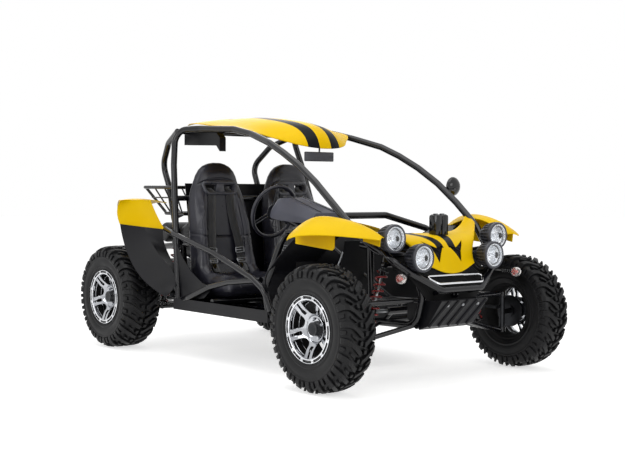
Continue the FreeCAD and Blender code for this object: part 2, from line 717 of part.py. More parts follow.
def make_hood():
    """The nose panel between the lamps, with two pointed vents and an ear each side."""
    depth = Vector(-1, 0, -1).normalize() * size("panel")
    half = skin([places(row) for row in HOOD_ROWS_SHARES], depth)
    hood = half.fuse(mirrored(half))
    nose = HOOD_ROWS_SHARES[0][-1][0] * LENGTH + size("bend")
    corners = [Vector(nose, y * WIDTH, z * HEIGHT) for y, z in HOOD_VENT_SHARES]
    vent = plate(corners, FORWARD * (HOOD_ROWS_SHARES[-1][-1][0] * LENGTH))
    hood = hood.cut([vent, mirrored(vent), cage, frame])
    return add_piece("hood", largest(hood))


FRONT_FENDER_SHARES = (
    ((0.66, 0.50, 0.765), (0.665, 0.56, 0.778), (0.70, 0.645, 0.768), (0.76, 0.725, 0.735)),
    ((0.80, 0.48, 0.815), (0.82, 0.54, 0.853), (0.86, 0.63, 0.832), (0.90, 0.715, 0.765)),
    ((0.95, 0.475, 0.832), (0.97, 0.53, 0.842), (1.00, 0.59, 0.82), (1.04, 0.65, 0.766)),
    ((1.07, 0.465, 0.80), (1.09, 0.50, 0.812), (1.115, 0.535, 0.797), (1.145, 0.58, 0.758)),
    ((1.185, 0.455, 0.757), (1.195, 0.475, 0.76), (1.205, 0.49, 0.757), (1.215, 0.51, 0.748)),
)
FENDER_SKIRT_SHARES = ((0.68, 0.71), (0.97, 0.688), (0.985, 0.70), (0.99, 0.86), (0.66, 0.86))
FENDER_SKIRT_SIDE_SHARE = 0.60
FENDER_TIP_SHARES = ((1.07, 0.735), (1.19, 0.712), (1.20, 0.80), (1.07, 0.82))
FENDER_TIP_SIDE_SHARE = 0.485


def make_front_fenders():
    """A swept wing over each front tyre with two skirts hanging inside its lip."""
    thickness = size("panel")
    grid = [places(row) for row in FRONT_FENDER_SHARES]
    wing = skin(grid, UP * -thickness)
    under = skin(grid, UP * (-HEIGHT * FENDER_SKIRT_SHARES[1][1]))
    shapes = [wing]
    for outline, side in (
        (FENDER_SKIRT_SHARES, FENDER_SKIRT_SIDE_SHARE), (FENDER_TIP_SHARES, FENDER_TIP_SIDE_SHARE),
    ):
        corners = [Vector(x * LENGTH, side * WIDTH, z * HEIGHT) for x, z in outline]
        shapes.append(plate(corners, ACROSS * thickness).common(under))
    return add_piece("front_fenders", both_sides(largest(fused(shapes).cut([cage, hood]))))


LINER_SHARES = ((0.47, 0.305), (0.405, 0.40), (0.42, 0.53), (0.53, 0.63), (0.66, 0.73), (0.80, 0.79))
LINER_Y_SHARES = (0.30, 0.60)


def front_liner():
    """The black arch between a front tyre and the footwell."""
    low, high = LINER_Y_SHARES
    points = [Vector(x * LENGTH, low * WIDTH, z * HEIGHT) for x, z in LINER_SHARES]
    wire = bent_path(points, size("bend"))
    face = wire.makeOffset2D(size("panel"), 0, True, True)
    arch = face.extrude(ACROSS * ((high - low) * WIDTH))
    arch = arch.cut([frame, cage, bars, floor, fenders])
    return largest(arch)


REAR_FENDER_WALL_SHARES = (
    ((-0.885, 0.72, 0.768), (-0.805, 0.60, 0.75), (-0.695, 0.52, 0.738)),
    ((-0.90, 0.73, 0.85), (-0.85, 0.605, 0.84), (-0.79, 0.52, 0.83)),
    ((-0.885, 0.715, 0.915), (-0.89, 0.60, 0.918), (-0.875, 0.51, 0.915)),
)
REAR_FENDER_DECK_SHARES = (
    ((-0.885, 0.715, 0.915), (-0.89, 0.60, 0.918), (-0.875, 0.51, 0.915), (-0.86, 0.40, 0.90)),
    ((-1.00, 0.665, 0.91), (-0.99, 0.58, 0.922), (-0.99, 0.50, 0.92), (-0.98, 0.40, 0.90)),
    ((-1.15, 0.585, 0.865), (-1.14, 0.53, 0.88), (-1.13, 0.47, 0.88), (-1.12, 0.40, 0.87)),
)


def make_rear_fenders():
    """A wall in front of each rear tyre that turns back into a deck over it."""
    thickness = size("panel")
    wall = skin([places(row) for row in REAR_FENDER_WALL_SHARES], FORWARD * -thickness)
    deck = skin([places(row) for row in REAR_FENDER_DECK_SHARES], UP * -thickness)
    return add_piece("rear_fenders", both_sides(wall.fuse(deck).cut([cage, frame])))


MUDGUARD_OUTER_SHARES = (
    (-0.885, 0.72, 0.767), (-0.845, 0.715, 0.65), (-0.71, 0.71, 0.49), (-0.60, 0.70, 0.42),
    (-0.49, 0.64, 0.345),
)
MUDGUARD_INNER_SHARES = (
    (-0.805, 0.60, 0.749), (-0.70, 0.585, 0.62), (-0.62, 0.58, 0.56), (-0.53, 0.573, 0.50),
    (-0.46, 0.593, 0.415),
)
MUDGUARD_CAGE_SHARES = (
    (-0.705, 0.525, 0.738), (-0.705, 0.515, 0.65), (-0.655, 0.51, 0.575), (-0.575, 0.515, 0.505),
    (-0.47, 0.56, 0.425),
)


GUARD_FRONT_SHARES = (0.70, 0.38, 0.60)


def rear_mudguard():
    """A black shield that sweeps down from a rear fender to the sill."""
    depth = toward(GUARD_FRONT_SHARES, size("panel"))
    outer = strip(MUDGUARD_OUTER_SHARES, MUDGUARD_INNER_SHARES, depth)
    inner = strip(MUDGUARD_INNER_SHARES, MUDGUARD_CAGE_SHARES, depth)
    guard = outer.fuse(inner).cut([rear_fenders, cage, frame, bars, floor, panels])
    return largest(guard)


def make_mudguards():
    halves = [front_liner(), rear_mudguard()]
    return add_piece("mudguards", Part.makeCompound(halves + [mirrored(half) for half in halves]))


# Cabin

COWL_SHARES = ((0.15, 0.82), (0.17, 0.925), (0.25, 0.958), (0.50, 0.912), (0.565, 0.855), (0.44, 0.80))
COWL_Y_SHARES = (-0.405, -0.13)
DASH_SHARES = ((0.47, 0.70), (0.50, 0.56))
DASH_WIDTH_SHARE = LINER_Y_SHARES[0]


def make_dash():
    """The instrument cowl in front of the driver and the low panel under the dash hoop."""
    low, high = COWL_Y_SHARES
    corners = [Vector(x * LENGTH, low * WIDTH, z * HEIGHT) for x, z in COWL_SHARES]
    cowl = plate(corners, ACROSS * ((high - low) * WIDTH))
    cowl = cowl.makeFillet(size("main_tube") / 2, cowl.Edges)
    (top_x, top_z), (low_x, low_z) = DASH_SHARES
    half = DASH_WIDTH_SHARE * WIDTH
    thickness = size("panel")
    panel = plate(
        [
            Vector(top_x * LENGTH, -half, top_z * HEIGHT + size("main_tube")),
            Vector(top_x * LENGTH + thickness, -half, top_z * HEIGHT + size("main_tube")),
            Vector(low_x * LENGTH + thickness, -half, low_z * HEIGHT),
            Vector(low_x * LENGTH, -half, low_z * HEIGHT),
        ],
        ACROSS * (2 * half),
    )
    panel = panel.cut([cage, column])
    return add_piece("dash", Part.makeCompound([cowl.cut([cage, column]), panel]))


WHEEL_CENTRE_SHARE = (0.07, -0.27, 0.86)
COLUMN_DROP_SHARE = 0.305
COLUMN_FOOT_SHARE = (0.90, -0.06, 0.375)


def column_axis():
    return Vector(1, 0, -COLUMN_DROP_SHARE).normalize()


def make_steering_column():
    """The column's housing under the cowl, the lower shaft and the rack's housing."""
    centre = place(*WHEEL_CENTRE_SHARE)
    start = centre + column_axis() * size("column_stub")
    joint = centre + column_axis() * size("column_length")
    housing = bar(start, joint, size("column_diameter"))
    shaft = bar(joint, place(*COLUMN_FOOT_SHARE), size("shaft_diameter"))
    case, bore = rack_case()
    return add_piece("steering_column", fused([housing, shaft, case]).cut([bore, frame, cage]))


def make_steering_wheel():
    """A padded ring on three flat spokes and a round boss."""
    axis = column_axis()
    centre = place(*WHEEL_CENTRE_SHARE)
    turn = Rotation(UP, axis)
    ring_radius = size("wheel_ring") / 2
    ring = Part.makeTorus(ring_radius, size("ring_grip") / 2)
    boss = Part.makeCylinder(size("ring_grip") * 2, size("ring_grip"))
    shapes = [ring, boss]
    count = 3
    for index in range(count):
        spoke = Part.makeBox(
            ring_radius, size("spoke_width"), size("panel"),
            Vector(0, -size("spoke_width") / 2, 0),
        )
        shapes.append(moved_copy(spoke, Placement(MIDDLE, Rotation(UP, 180 + 360 * index / count))))
    stub_length = size("column_stub") - size("seat_gap")
    shapes.append(Part.makeCylinder(size("shaft_diameter") / 2, stub_length))
    feature = document.addObject("Part::Feature", "steering_wheel")
    feature.Label = "steering_wheel"
    feature.Shape = fused(shapes)
    feature.Placement = Placement(centre, turn)
    pieces.append(feature)


SEAT_MIDDLE_SHARE = 0.275
SEAT_SIDE_SHARES = (
    (-0.055, 0.455), (-0.10, 0.478), (-0.25, 0.452), (-0.375, 0.452), (-0.415, 0.55),
    (-0.455, 0.85), (-0.475, 1.06), (-0.468, 1.12), (-0.492, 1.155), (-0.53, 1.12),
    (-0.555, 1.00), (-0.50, 0.50), (-0.47, 0.36), (-0.40, 0.335), (-0.07, 0.36), (-0.045, 0.41),
)
SEAT_FRONT_SHARES = (
    (0.50, 0.325), (0.50, 0.50), (0.44, 0.66), (0.44, 0.80), (0.42, 0.95), (0.31, 1.03),
    (0.25, 1.10), (0.17, 1.145), (0.08, 1.16),
)
BOLSTER_SHARES = (
    (-0.05, 0.40), (-0.09, 0.52), (-0.25, 0.50), (-0.33, 0.54), (-0.375, 0.66), (-0.40, 0.85),
    (-0.44, 0.98), (-0.53, 0.98), (-0.50, 0.50), (-0.44, 0.36), (-0.08, 0.35),
)
SLOT_SHARES = (0.115, 0.975, 1.015)


def seat_shape():
    """A bucket seat about its own middle: padded core, side bolsters and harness slot."""
    width = size("seat_width")
    corners = [Vector(x * LENGTH, -width, z * HEIGHT) for x, z in SEAT_SIDE_SHARES]
    core = plate(corners, ACROSS * (2 * width))
    back = SEAT_SIDE_SHARES[10][0] * LENGTH - size("overrun")
    outline = [Vector(back, y * width, z * HEIGHT) for y, z in SEAT_FRONT_SHARES]
    outline += [Vector(back, -y * width, z * HEIGHT) for y, z in reversed(SEAT_FRONT_SHARES)]
    envelope = plate(outline, FORWARD * LENGTH)
    core = core.common(envelope)
    bolster_at = width / 2 - size("bolster")
    corners = [Vector(x * LENGTH, bolster_at, z * HEIGHT) for x, z in BOLSTER_SHARES]
    bolster = plate(corners, ACROSS * size("bolster")).common(envelope)
    half_share, low_share, high_share = SLOT_SHARES
    slot = Part.makeBox(
        LENGTH, 2 * half_share * WIDTH, (high_share - low_share) * HEIGHT,
        Vector(-LENGTH, -half_share * WIDTH, low_share * HEIGHT),
    )
    return fused([core, bolster, mirrored(bolster)]).cut(slot)


def make_seats():
    seat = moved_copy(seat_shape(), Placement(ACROSS * (SEAT_MIDDLE_SHARE * WIDTH), Rotation()))
    return add_piece("seats", both_sides(seat.cut([frame, cage, panels, bars, floor])))


BELT_RUN_SHARES = ((-0.56, 0.955), (-0.54, 0.988), (-0.468, 0.988))
BELT_SPREAD_SHARE = 0.075


def make_harness_belts():
    """Two shoulder straps for each seat: over the bar, through the slot, down the back."""
    run = BELT_RUN_SHARES + tuple(reversed(SEAT_SIDE_SHARES[2:6]))
    points = [Vector(x * LENGTH, 0, z * HEIGHT) for x, z in run]
    wire = bent_path(points, size("tight_bend"))
    inner = wire.makeOffset2D(size("seat_gap"), 0, False, True)
    strap = inner.makeOffset2D(size("belt_thickness"), 0, True, True).extrude(ACROSS * size("belt_width"))
    straps = []
    for _, side in SIDES:
        middle = side * SEAT_MIDDLE_SHARE * WIDTH
        for half in (-1, 1):
            shift = middle + half * BELT_SPREAD_SHARE * WIDTH - size("belt_width") / 2
            straps.append(moved_copy(strap, Placement(ACROSS * shift, Rotation())))
    return add_piece("harness_belts", Part.makeCompound([largest(strap.cut([seats, cage])) for strap in straps]))


PEDAL_SHARES = ((0.60, -0.33, 0.40), (0.60, -0.21, 0.40))
PEDAL_TOP_SHARE = 0.66
LEVER_SHARES = ((0.02, 0.0, 0.27), (0.05, 0.0, 0.50), (0.0, 0.0, 0.60))


def make_small_controls():
    """Two pedals hung from the toe board and the gear lever between the seats."""
    shapes = []
    for share in PEDAL_SHARES:
        foot = place(*share)
        top = Vector(toe_board_x(PEDAL_TOP_SHARE) - size("panel"), foot.y, PEDAL_TOP_SHARE * HEIGHT)
        arm = bar(foot, top, size("wire_bar"))
        pad = Part.makeBox(
            size("wire_bar"), size("hub_cap_diameter"), size("hub_diameter"),
            foot - Vector(size("wire_bar"), size("hub_cap_diameter") / 2, size("hub_diameter") / 2),
        )
        shapes.append(arm.fuse(pad))
    lever = tube(places(LEVER_SHARES), size("rod_diameter"), size("tight_bend"))
    knob = Part.makeSphere(size("main_tube") / 2, place(*LEVER_SHARES[-1]))
    lever = lever.fuse(knob)
    shapes.append(lever)
    return add_piece("small_controls", Part.makeCompound([largest(shape.cut(floor)) for shape in shapes]))


def toe_board_x(z_share):
    (low_x, low_z), (high_x, high_z) = TOE_BOARD_SHARES
    return (low_x + (high_x - low_x) * (z_share - low_z) / (high_z - low_z)) * LENGTH


# Nose, lamps and mirrors

BUMPER_SHARES = (
    (1.10, 0.385, 0.69), (1.17, 0.395, 0.645), (1.225, 0.275, 0.563), (1.28, 0.145, 0.488),
)
RING_SHARES = ((1.222, 0.185, 0.556), (1.24, 0.195, 0.545), (1.276, 0.16, 0.52))
RING_STAY_SHARES = ((1.152, 0.200, 0.56), (1.23, 0.19, 0.551))
BUMPER_STAY_SHARES = (1.18, 0.13, 0.46)


def whole_path(half_shares):
    half = places(half_shares)
    return half + [Vector(point.x, -point.y, point.z) for point in reversed(half)]


def make_front_bumper():
    """The wide bumper tube and the thinner bright ring inside it."""
    outer = tube(whole_path(BUMPER_SHARES), size("side_tube"), size("tight_bend"))
    ring = tube(whole_path(RING_SHARES), size("thin_tube") / 2, size("tight_bend"))
    top = cross_tube(RING_SHARES[0], size("thin_tube") / 2)
    shapes = [outer, ring, top]
    for side in (-1, 1):
        front_x, _, front_z = BUMPER_SHARES[-1]
        back_x, out, back_z = BUMPER_STAY_SHARES
        shapes.append(bar(place(back_x, side * out, back_z), place(front_x, side * out, front_z), size("thin_tube")))
        ends = [place(x, side * y, z) for x, y, z in RING_STAY_SHARES]
        shapes.append(bar(*ends, size("thin_tube") / 2))
    return add_piece("front_bumper", fused(shapes).cut([frame, cage, hood]))


SKID_SHARES = ((1.145, 0.278), (1.205, 0.30), (1.305, 0.435), (1.297, 0.44), (1.20, 0.309), (1.145, 0.285))
SKID_HALF_SHARE = 0.17
SKID_RIB_COUNT = 5
SKID_CHEEK_SHARES = ((1.06, 0.33), (1.145, 0.285), (1.20, 0.309), (1.297, 0.44), (1.19, 0.43), (1.06, 0.42))


def make_skid_plate():
    """The ribbed plate that closes the nose below the bumper, with a cheek each side."""
    half = SKID_HALF_SHARE * WIDTH
    corners = [Vector(x * LENGTH, -half, z * HEIGHT) for x, z in SKID_SHARES]
    shapes = [plate(corners, ACROSS * (2 * half))]
    rib = size("skid_rib")
    low, high = [Vector(x * LENGTH, 0, z * HEIGHT) for x, z in SKID_SHARES[1:3]]
    pitch = 2 * half / SKID_RIB_COUNT
    for index in range(SKID_RIB_COUNT):
        at = pitch * (index + 1 / 2) - half
        shapes.append(bar(low + ACROSS * (at - pitch / 3), high + ACROSS * (at + pitch / 3), rib * 2))
    corners = [Vector(x * LENGTH, half - size("panel"), z * HEIGHT) for x, z in SKID_CHEEK_SHARES]
    cheek = plate(corners, ACROSS * size("panel"))
    shapes += [cheek, mirrored(cheek)]
    return add_piece("skid_plate", largest(fused(shapes).cut([frame, bumper])))


LAMP_SHARES = ((1.184, 0.378, 0.749), (1.265, 0.259, 0.653))


LAMP_BEZEL_SHARE = 0.20
LAMP_FIN_COUNT = 4
LAMP_FIN_PITCH_SHARE = 0.14
LAMP_TAPER_SHARE = 0.42


def lamp_shapes(centre):
    """Housing and glass of one headlamp, facing forward, its bezel's rim at the centre."""
    radius = size("lamp_diameter") / 2
    depth = size("lamp_depth")
    wall = size("lamp_wall")
    lens = size("lamp_lens") / 2
    corners = [Vector(0, 0, 0), Vector(0, 0, radius), Vector(-LAMP_BEZEL_SHARE * depth, 0, radius)]
    for index in range(LAMP_FIN_COUNT):
        for share, drop in ((0, size("lamp_fin")), (1 / 2, size("lamp_fin")), (1 / 2, 0), (1, 0)):
            at = LAMP_BEZEL_SHARE + (index + share) * LAMP_FIN_PITCH_SHARE
            taper = radius * (1 - LAMP_TAPER_SHARE * at * at)
            corners.append(Vector(-at * depth, 0, taper - drop))
    corners += [Vector(-depth, 0, radius / 2), Vector(-depth, 0, 0)]
    body = Part.Face(Part.makePolygon(corners + [corners[0]])).revolve(MIDDLE, FORWARD, 360)
    cup = Part.makeCone(lens / 2, lens, depth / 2, FORWARD * (-depth / 2), FORWARD)
    glass = Part.makeCylinder(lens, wall / 2, FORWARD * -wall, FORWARD)
    seat = Part.makeCylinder(lens, wall, FORWARD * -wall, FORWARD)
    spot = Placement(centre, Rotation())
    return moved_copy(body.cut([cup, seat]), spot), moved_copy(glass, spot)


LAMP_MOUNT_SHARES = (((1.10, 0.378, 0.745), (1.08, 0.395, 0.69)), ((1.18, 0.259, 0.65), (1.19, 0.30, 0.585)))


def make_headlamps():
    """Four round lamps on stalks, the lower pair on the bumper's arms."""
    housings = []
    lenses = []
    for centre, mount in zip(places(LAMP_SHARES), LAMP_MOUNT_SHARES):
        housing, lens = lamp_shapes(centre)
        stalk = bar(*places(mount), size("thin_tube"))
        housing = housing.fuse(stalk).cut([frame, cage, bumper, hood, fenders])
        housing = largest(housing)
        housings += [housing, mirrored(housing)]
        lenses += [lens, mirrored(lens)]
    add_piece("headlamp_lenses", Part.makeCompound(lenses))
    return add_piece("headlamp_housings", Part.makeCompound(housings))


SIGNAL_SHARE = (1.277, 0.423, 0.558)
SIGNAL_SHARES = (0.034, 0.026)
SIGNAL_ARM_SHARE = (1.215, 0.295, 0.575)
TAIL_SHARE = (-1.235, 0.32, 0.70)
TAIL_SHARES = (0.022, 0.09, 0.05)
TAIL_STAY_SHARE = (-1.20, 0.25, 0.605)


def make_signal_lamps():
    """Oval front indicators on stalks and a rear lamp each side of the tail."""
    centre = place(*SIGNAL_SHARE)
    long_share, short_share = SIGNAL_SHARES
    ball = Part.makeSphere(short_share * WIDTH, centre)
    nose = Part.makeCone(short_share * WIDTH, short_share * WIDTH / 2, long_share * LENGTH, centre, FORWARD * -1)
    stalk = bar(centre - FORWARD * (long_share * LENGTH / 2), place(*SIGNAL_ARM_SHARE), size("wire_bar"))
    front = fused([ball, nose, stalk]).cut([bumper, frame, cage])
    depth, wide, tall = TAIL_SHARES
    corner = place(*TAIL_SHARE)
    tail = Part.makeBox(depth * LENGTH, wide * WIDTH, tall * HEIGHT, corner)
    stay = bar(
        corner + Vector(depth * LENGTH / 2, wide * WIDTH / 2, tall * HEIGHT / 2),
        place(*TAIL_STAY_SHARE), size("rod_diameter"),
    )
    tail = tail.fuse(stay).cut(frame)
    return add_piece("signal_lamps", Part.makeCompound([front, mirrored(front), tail, mirrored(tail)]))


INNER_MIRROR_SHARES = ((0.145, -0.115, 1.15), (0.165, 0.095, 1.205))
SIDE_MIRROR_SHARE = (0.70, 0.535, 1.01)
SIDE_MIRROR_SIZE_SHARES = (0.055, 0.03)
SIDE_MIRROR_FOOT_SHARE = (0.71, 0.458, 0.985)


def make_mirrors():
    """The inside mirror under the roof's lip and the round one on the far screen tube."""
    low, high = places(INNER_MIRROR_SHARES)
    body = Part.makeBox(high.x - low.x, high.y - low.y, high.z - low.z, low)
    body = body.makeFillet((high.x - low.x) / 3, body.Edges)
    top = Vector((low.x + high.x) / 2, 0, high.z - size("wire_bar"))
    stem = bar(top, top + Vector(0, 0, size("bend") * 2), size("wire_bar")).cut(roof)
    stem = min(stem.Solids, key=lambda solid: solid.CenterOfMass.z)
    radius_share, depth_share = SIDE_MIRROR_SIZE_SHARES
    centre = place(*SIDE_MIRROR_SHARE)
    shell = Part.makeCone(
        radius_share * WIDTH, radius_share * WIDTH / 2, depth_share * LENGTH, centre, FORWARD,
    )
    arm = bar(centre + FORWARD * (depth_share * LENGTH / 2), place(*SIDE_MIRROR_FOOT_SHARE), size("rod_diameter"))
    side = shell.fuse(arm).cut(cage)
    side = largest(side)
    return add_piece("mirrors", Part.makeCompound([body.fuse(stem), side]))


RESERVOIR_SHARES = ((1.00, 0.035, 0.745), (1.06, 0.135, 0.866))


def make_reservoir():
    """The glossy twin-lobed box that stands on the hood's rear edge."""
    low, high = places(RESERVOIR_SHARES)
    lobe = (high.y - low.y) / 4
    shapes = []
    for index in (1, 3):
        at = Vector(low.x + lobe, low.y + lobe * index, low.z)
        shapes.append(Part.makeCylinder(lobe, high.z - low.z, at))
    shapes.append(Part.makeBox(lobe, 2 * lobe, high.z - low.z, Vector(low.x, low.y + lobe, low.z)))
    shape = fused(shapes).cut([hood, cage, frame])
    return add_piece("nose_reservoir", max(shape.Solids, key=lambda solid: solid.CenterOfMass.z))


# Tail

RACK_TOP_SHARES = ((-0.70, 0.43, 0.995), (-1.10, 0.43, 0.995))
RACK_LOW_SHARES = ((-0.76, 0.33, 0.83), (-1.01, 0.33, 0.83))
RACK_CORNER_SHARE = 0.03
RACK_STAY_SHARES = ((-0.79, 0.32, 0.83), (-0.885, 0.325, 0.80))
RACK_BARS_ACROSS = 7
RACK_BARS_ALONG = 4


def rack_loop(shares, diameter):
    (front_x, side, height), (rear_x, _, _) = shares
    corners = places((
        (front_x, side, height), (rear_x, side, height), (rear_x, -side, height), (front_x, -side, height),
    ))
    rails = tube(corners, diameter, size("tight_bend"))
    return rails.fuse(bar(corners[0], corners[3], diameter))


def make_rear_rack():
    """A shallow basket behind the cage: a top loop, a smaller low loop and bars between."""
    shapes = [rack_loop(RACK_TOP_SHARES, size("thin_tube")), rack_loop(RACK_LOW_SHARES, size("thin_tube"))]
    (top_front, top_side, top_z), (top_rear, _, _) = RACK_TOP_SHARES
    (low_front, low_side, low_z), (low_rear, _, _) = RACK_LOW_SHARES
    inset = RACK_CORNER_SHARE
    for index in range(RACK_BARS_ACROSS):
        share = 2 * index / (RACK_BARS_ACROSS - 1) - 1
        top = place(top_rear, share * (top_side - inset), top_z)
        low = place(low_rear, share * (low_side - inset), low_z)
        shapes.append(bar(top, low, size("wire_bar")))
        front = place(low_front, share * (low_side - inset), low_z)
        shapes.append(bar(low, front, size("wire_bar")))
    for index in range(RACK_BARS_ALONG):
        share = index / (RACK_BARS_ALONG - 1)
        for side in (-1, 1):
            top = place(top_rear + inset + share * (top_front - top_rear - 2 * inset), side * top_side, top_z)
            low = place(low_rear + inset + share * (low_front - low_rear - 2 * inset), side * low_side, low_z)
            shapes.append(bar(top, low, size("wire_bar")))
    for side in (-1, 1):
        ends = [place(x, side * y, z) for x, y, z in RACK_STAY_SHARES]
        shapes.append(bar(*ends, size("thin_tube")))
    return add_piece("rear_rack", fused(shapes).cut([cage, frame, panels, rear_fenders]))


def bound_box(name, low, high):
    """A block between two places whose sides follow the sheet."""
    box = document.addObject("Part::Box", name)
    modules = (("wheelbase", WHEELBASE_SHARE), ("front_track", TRACK_SHARE), ("roof_height", HEIGHT_SHARE))
    for side, (alias, module), start, end in zip(("Length", "Width", "Height"), modules, low, high):
        box.setExpression(side, f"sizes.{alias} * {(end - start) / module}")
    box.Placement = Placement(place(*low), Rotation())
    return box


def bound_drum(name, alias, half_share, centre):
    """A round cover or drum across the buggy, centred on its plane."""
    drum = document.addObject("Part::Cylinder", name)
    drum.setExpression("Radius", f"sizes.{alias} / 2")
    drum.setExpression("Height", f"sizes.front_track * {2 * half_share / TRACK_SHARE}")
    x, z = centre
    drum.Placement = Placement(place(x, -half_share, z), Rotation(UP, ACROSS))
    return drum


CASE_SHARES = ((-1.13, -0.20, 0.285), (-0.68, 0.20, 0.53))
SUMP_SHARES = ((-0.93, -0.235, 0.285), (-0.75, 0.235, 0.36))
COVER_SHARES = ((-0.81, 0.42), (-1.025, 0.39))
BARREL_SHARES = ((-0.87, -0.08, 0.53), (-0.73, 0.08, 0.78))
FIN_REACH_SHARE = 0.025
FIN_COUNT = 6


def make_engine():
    """Crankcase and final drive with round side covers, and an upright finned cylinder."""
    half = ENGINE_SHARES[1][1]
    parts = [bound_box("engine_case", *CASE_SHARES), bound_box("engine_sump", *SUMP_SHARES)]
    parts.append(bound_drum("engine_covers", "cover_diameter", half, COVER_SHARES[0]))
    parts.append(bound_drum("engine_drive", "drive_diameter", half, COVER_SHARES[1]))
    low, high = BARREL_SHARES
    parts.append(bound_box("engine_barrel", low, high))
    pitch = (high[2] - low[2]) / FIN_COUNT
    reach = FIN_REACH_SHARE
    for index in range(FIN_COUNT):
        level = low[2] + (index + 1 / 2) * pitch
        fin_low = (low[0] - reach, low[1] - reach, level)
        fin_high = (high[0] + reach, high[1] + reach, level + pitch / 3)
        parts.append(bound_box(f"engine_fin_{index}", fin_low, fin_high))
    document.recompute()
    return add_piece("engine_block", largest(fused([part.Shape for part in parts]).cut([frame, cage])))


MUFFLER_SHARE = (-1.19, 0.70)
MUFFLER_FOOT_SHARES = (-1.222, 0.12, 0.605)
PIPE_SHARE = (-0.86, 0.0, 0.66)


def make_muffler():
    """The silencer across the tail, on two feet, with the pipe from the cylinder."""
    x, z = MUFFLER_SHARE
    start = Vector(x * LENGTH, -size("muffler_length") / 2, z * HEIGHT)
    drum = Part.makeCylinder(size("muffler_diameter") / 2, size("muffler_length"), start, ACROSS)
    drum = drum.makeFillet(size("muffler_diameter") / 5, drum.Edges)
    shapes = [drum, bar(place(*PIPE_SHARE), place(x, 0, z), size("side_tube"))]
    foot_x, out, foot_z = MUFFLER_FOOT_SHARES
    for side in (-1, 1):
        shapes.append(bar(place(x, side * out, z), place(foot_x, side * out, foot_z), size("thin_tube")))
    return add_piece("silencer", largest(fused(shapes).cut([frame, cage, engine])))


# Suspension and steering

def kingpin_foot():
    return Vector(AXLE_X, KINGPIN_Y, AXLE_Z - size("kingpin_height") / 2)


def joint_housing(bottom):
    """A ball joint's housing about the kingpin, bored for the knuckle's pin."""
    housing = Part.makeCylinder(size("joint_diameter") / 2, size("joint_height"), bottom)
    bore = Part.makeCylinder(
        size("pin_diameter") / 2 + size("running_gap"),
        size("joint_height") + 2 * size("overrun"), bottom - UP * size("overrun"),
    )
    return housing, bore


FRONT_PIVOT_SHARES = (((0.90, 0.211, 0.30), (1.12, 0.187, 0.30)), ((0.90, 0.234, 0.43), (1.135, 0.197, 0.43)))
REAR_PIVOT_SHARES = (((-0.87, 0.246, 0.245), (-1.10, 0.242, 0.245)), ((-0.85, 0.268, 0.43), (-1.216, 0.245, 0.43)))
REAR_JOINT_SHARES = (0.485, 0.235, 0.395)


def wishbone(pivots, tip):
    """Two tubes from the frame to one joint and a cross tube that stiffens them."""
    diameter = size("arm_tube")
    legs = [place(*pivot) for pivot in pivots]
    tubes = [bar(leg, tip, diameter) for leg in legs]
    ends = [leg + (tip - leg) * ARM_TIE_SHARE for leg in legs]
    tubes.append(bar(*ends, diameter))
    return tubes, ends


ARM_TIE_SHARE = 0.55
JOINT_LEVEL_SHARES = (0.3, 0.6)


def make_suspension_arms():
    """Upper and lower wishbones at all four corners, each a V of two tubes."""
    gap = size("seat_gap") * 4
    low = kingpin_foot() - UP * (size("joint_height") + gap)
    high = kingpin_foot() + UP * (size("kingpin_height") + gap)
    halves = []
    for bottom, pivots, level_share in zip((low, high), FRONT_PIVOT_SHARES, JOINT_LEVEL_SHARES):
        housing, bore = joint_housing(bottom)
        tubes, _ = wishbone(pivots, front_tip(bottom, level_share))
        halves.append(fused([housing] + tubes).cut([bore, frame]))
    for pivots, tip in zip(REAR_PIVOT_SHARES, rear_tips()):
        tubes, _ = wishbone(pivots, tip)
        halves.append(fused(tubes).cut(frame))
    halves = [largest(half) for half in halves]
    shapes = halves + [mirrored(half) for half in halves]
    return add_piece("suspension_arms", Part.makeCompound(shapes))


def front_tip(bottom, level_share):
    return bottom + UP * (size("joint_height") * level_share) - ACROSS * (size("joint_diameter") / 4)


def rear_tips():
    side_share, *level_shares = REAR_JOINT_SHARES
    return [Vector(-AXLE_X, side_share * WIDTH, level * HEIGHT) for level in level_shares]


def shock_feet():
    """On the lower wishbones: the front cross tube's middle, the rear one's leading end."""
    low = kingpin_foot() - UP * (size("joint_height") + size("seat_gap") * 4)
    _, front = wishbone(FRONT_PIVOT_SHARES[0], front_tip(low, JOINT_LEVEL_SHARES[0]))
    _, rear = wishbone(REAR_PIVOT_SHARES[0], rear_tips()[0])
    return (front[0] + front[1]) / 2, rear[0]


def make_rear_uprights():
    """A bored block at each rear wheel that the wishbones hold."""
    side_share, low_share, high_share = REAR_JOINT_SHARES
    wide = size("hub_diameter")
    deep = size("main_tube")
    low = low_share * HEIGHT - size("arm_tube") / 2
    high = high_share * HEIGHT + size("arm_tube") / 2
    side = side_share * WIDTH
    block = Part.makeBox(wide, deep, high - low, Vector(-AXLE_X - wide / 2, side - deep / 2, low))
    bore = Part.makeCylinder(
        size("axle_diameter") / 2 + size("running_gap"), deep + 2 * size("overrun"),
        Vector(-AXLE_X, side - deep / 2 - size("overrun"), AXLE_Z), ACROSS,
    )
    half = block.cut([bore, arms])
    half = largest(half)
    return add_piece("rear_uprights", both_sides(half))


SHOCK_TOP_SHARES = ((1.025, 0.30, 0.61), (-0.88, 0.30, 0.64))


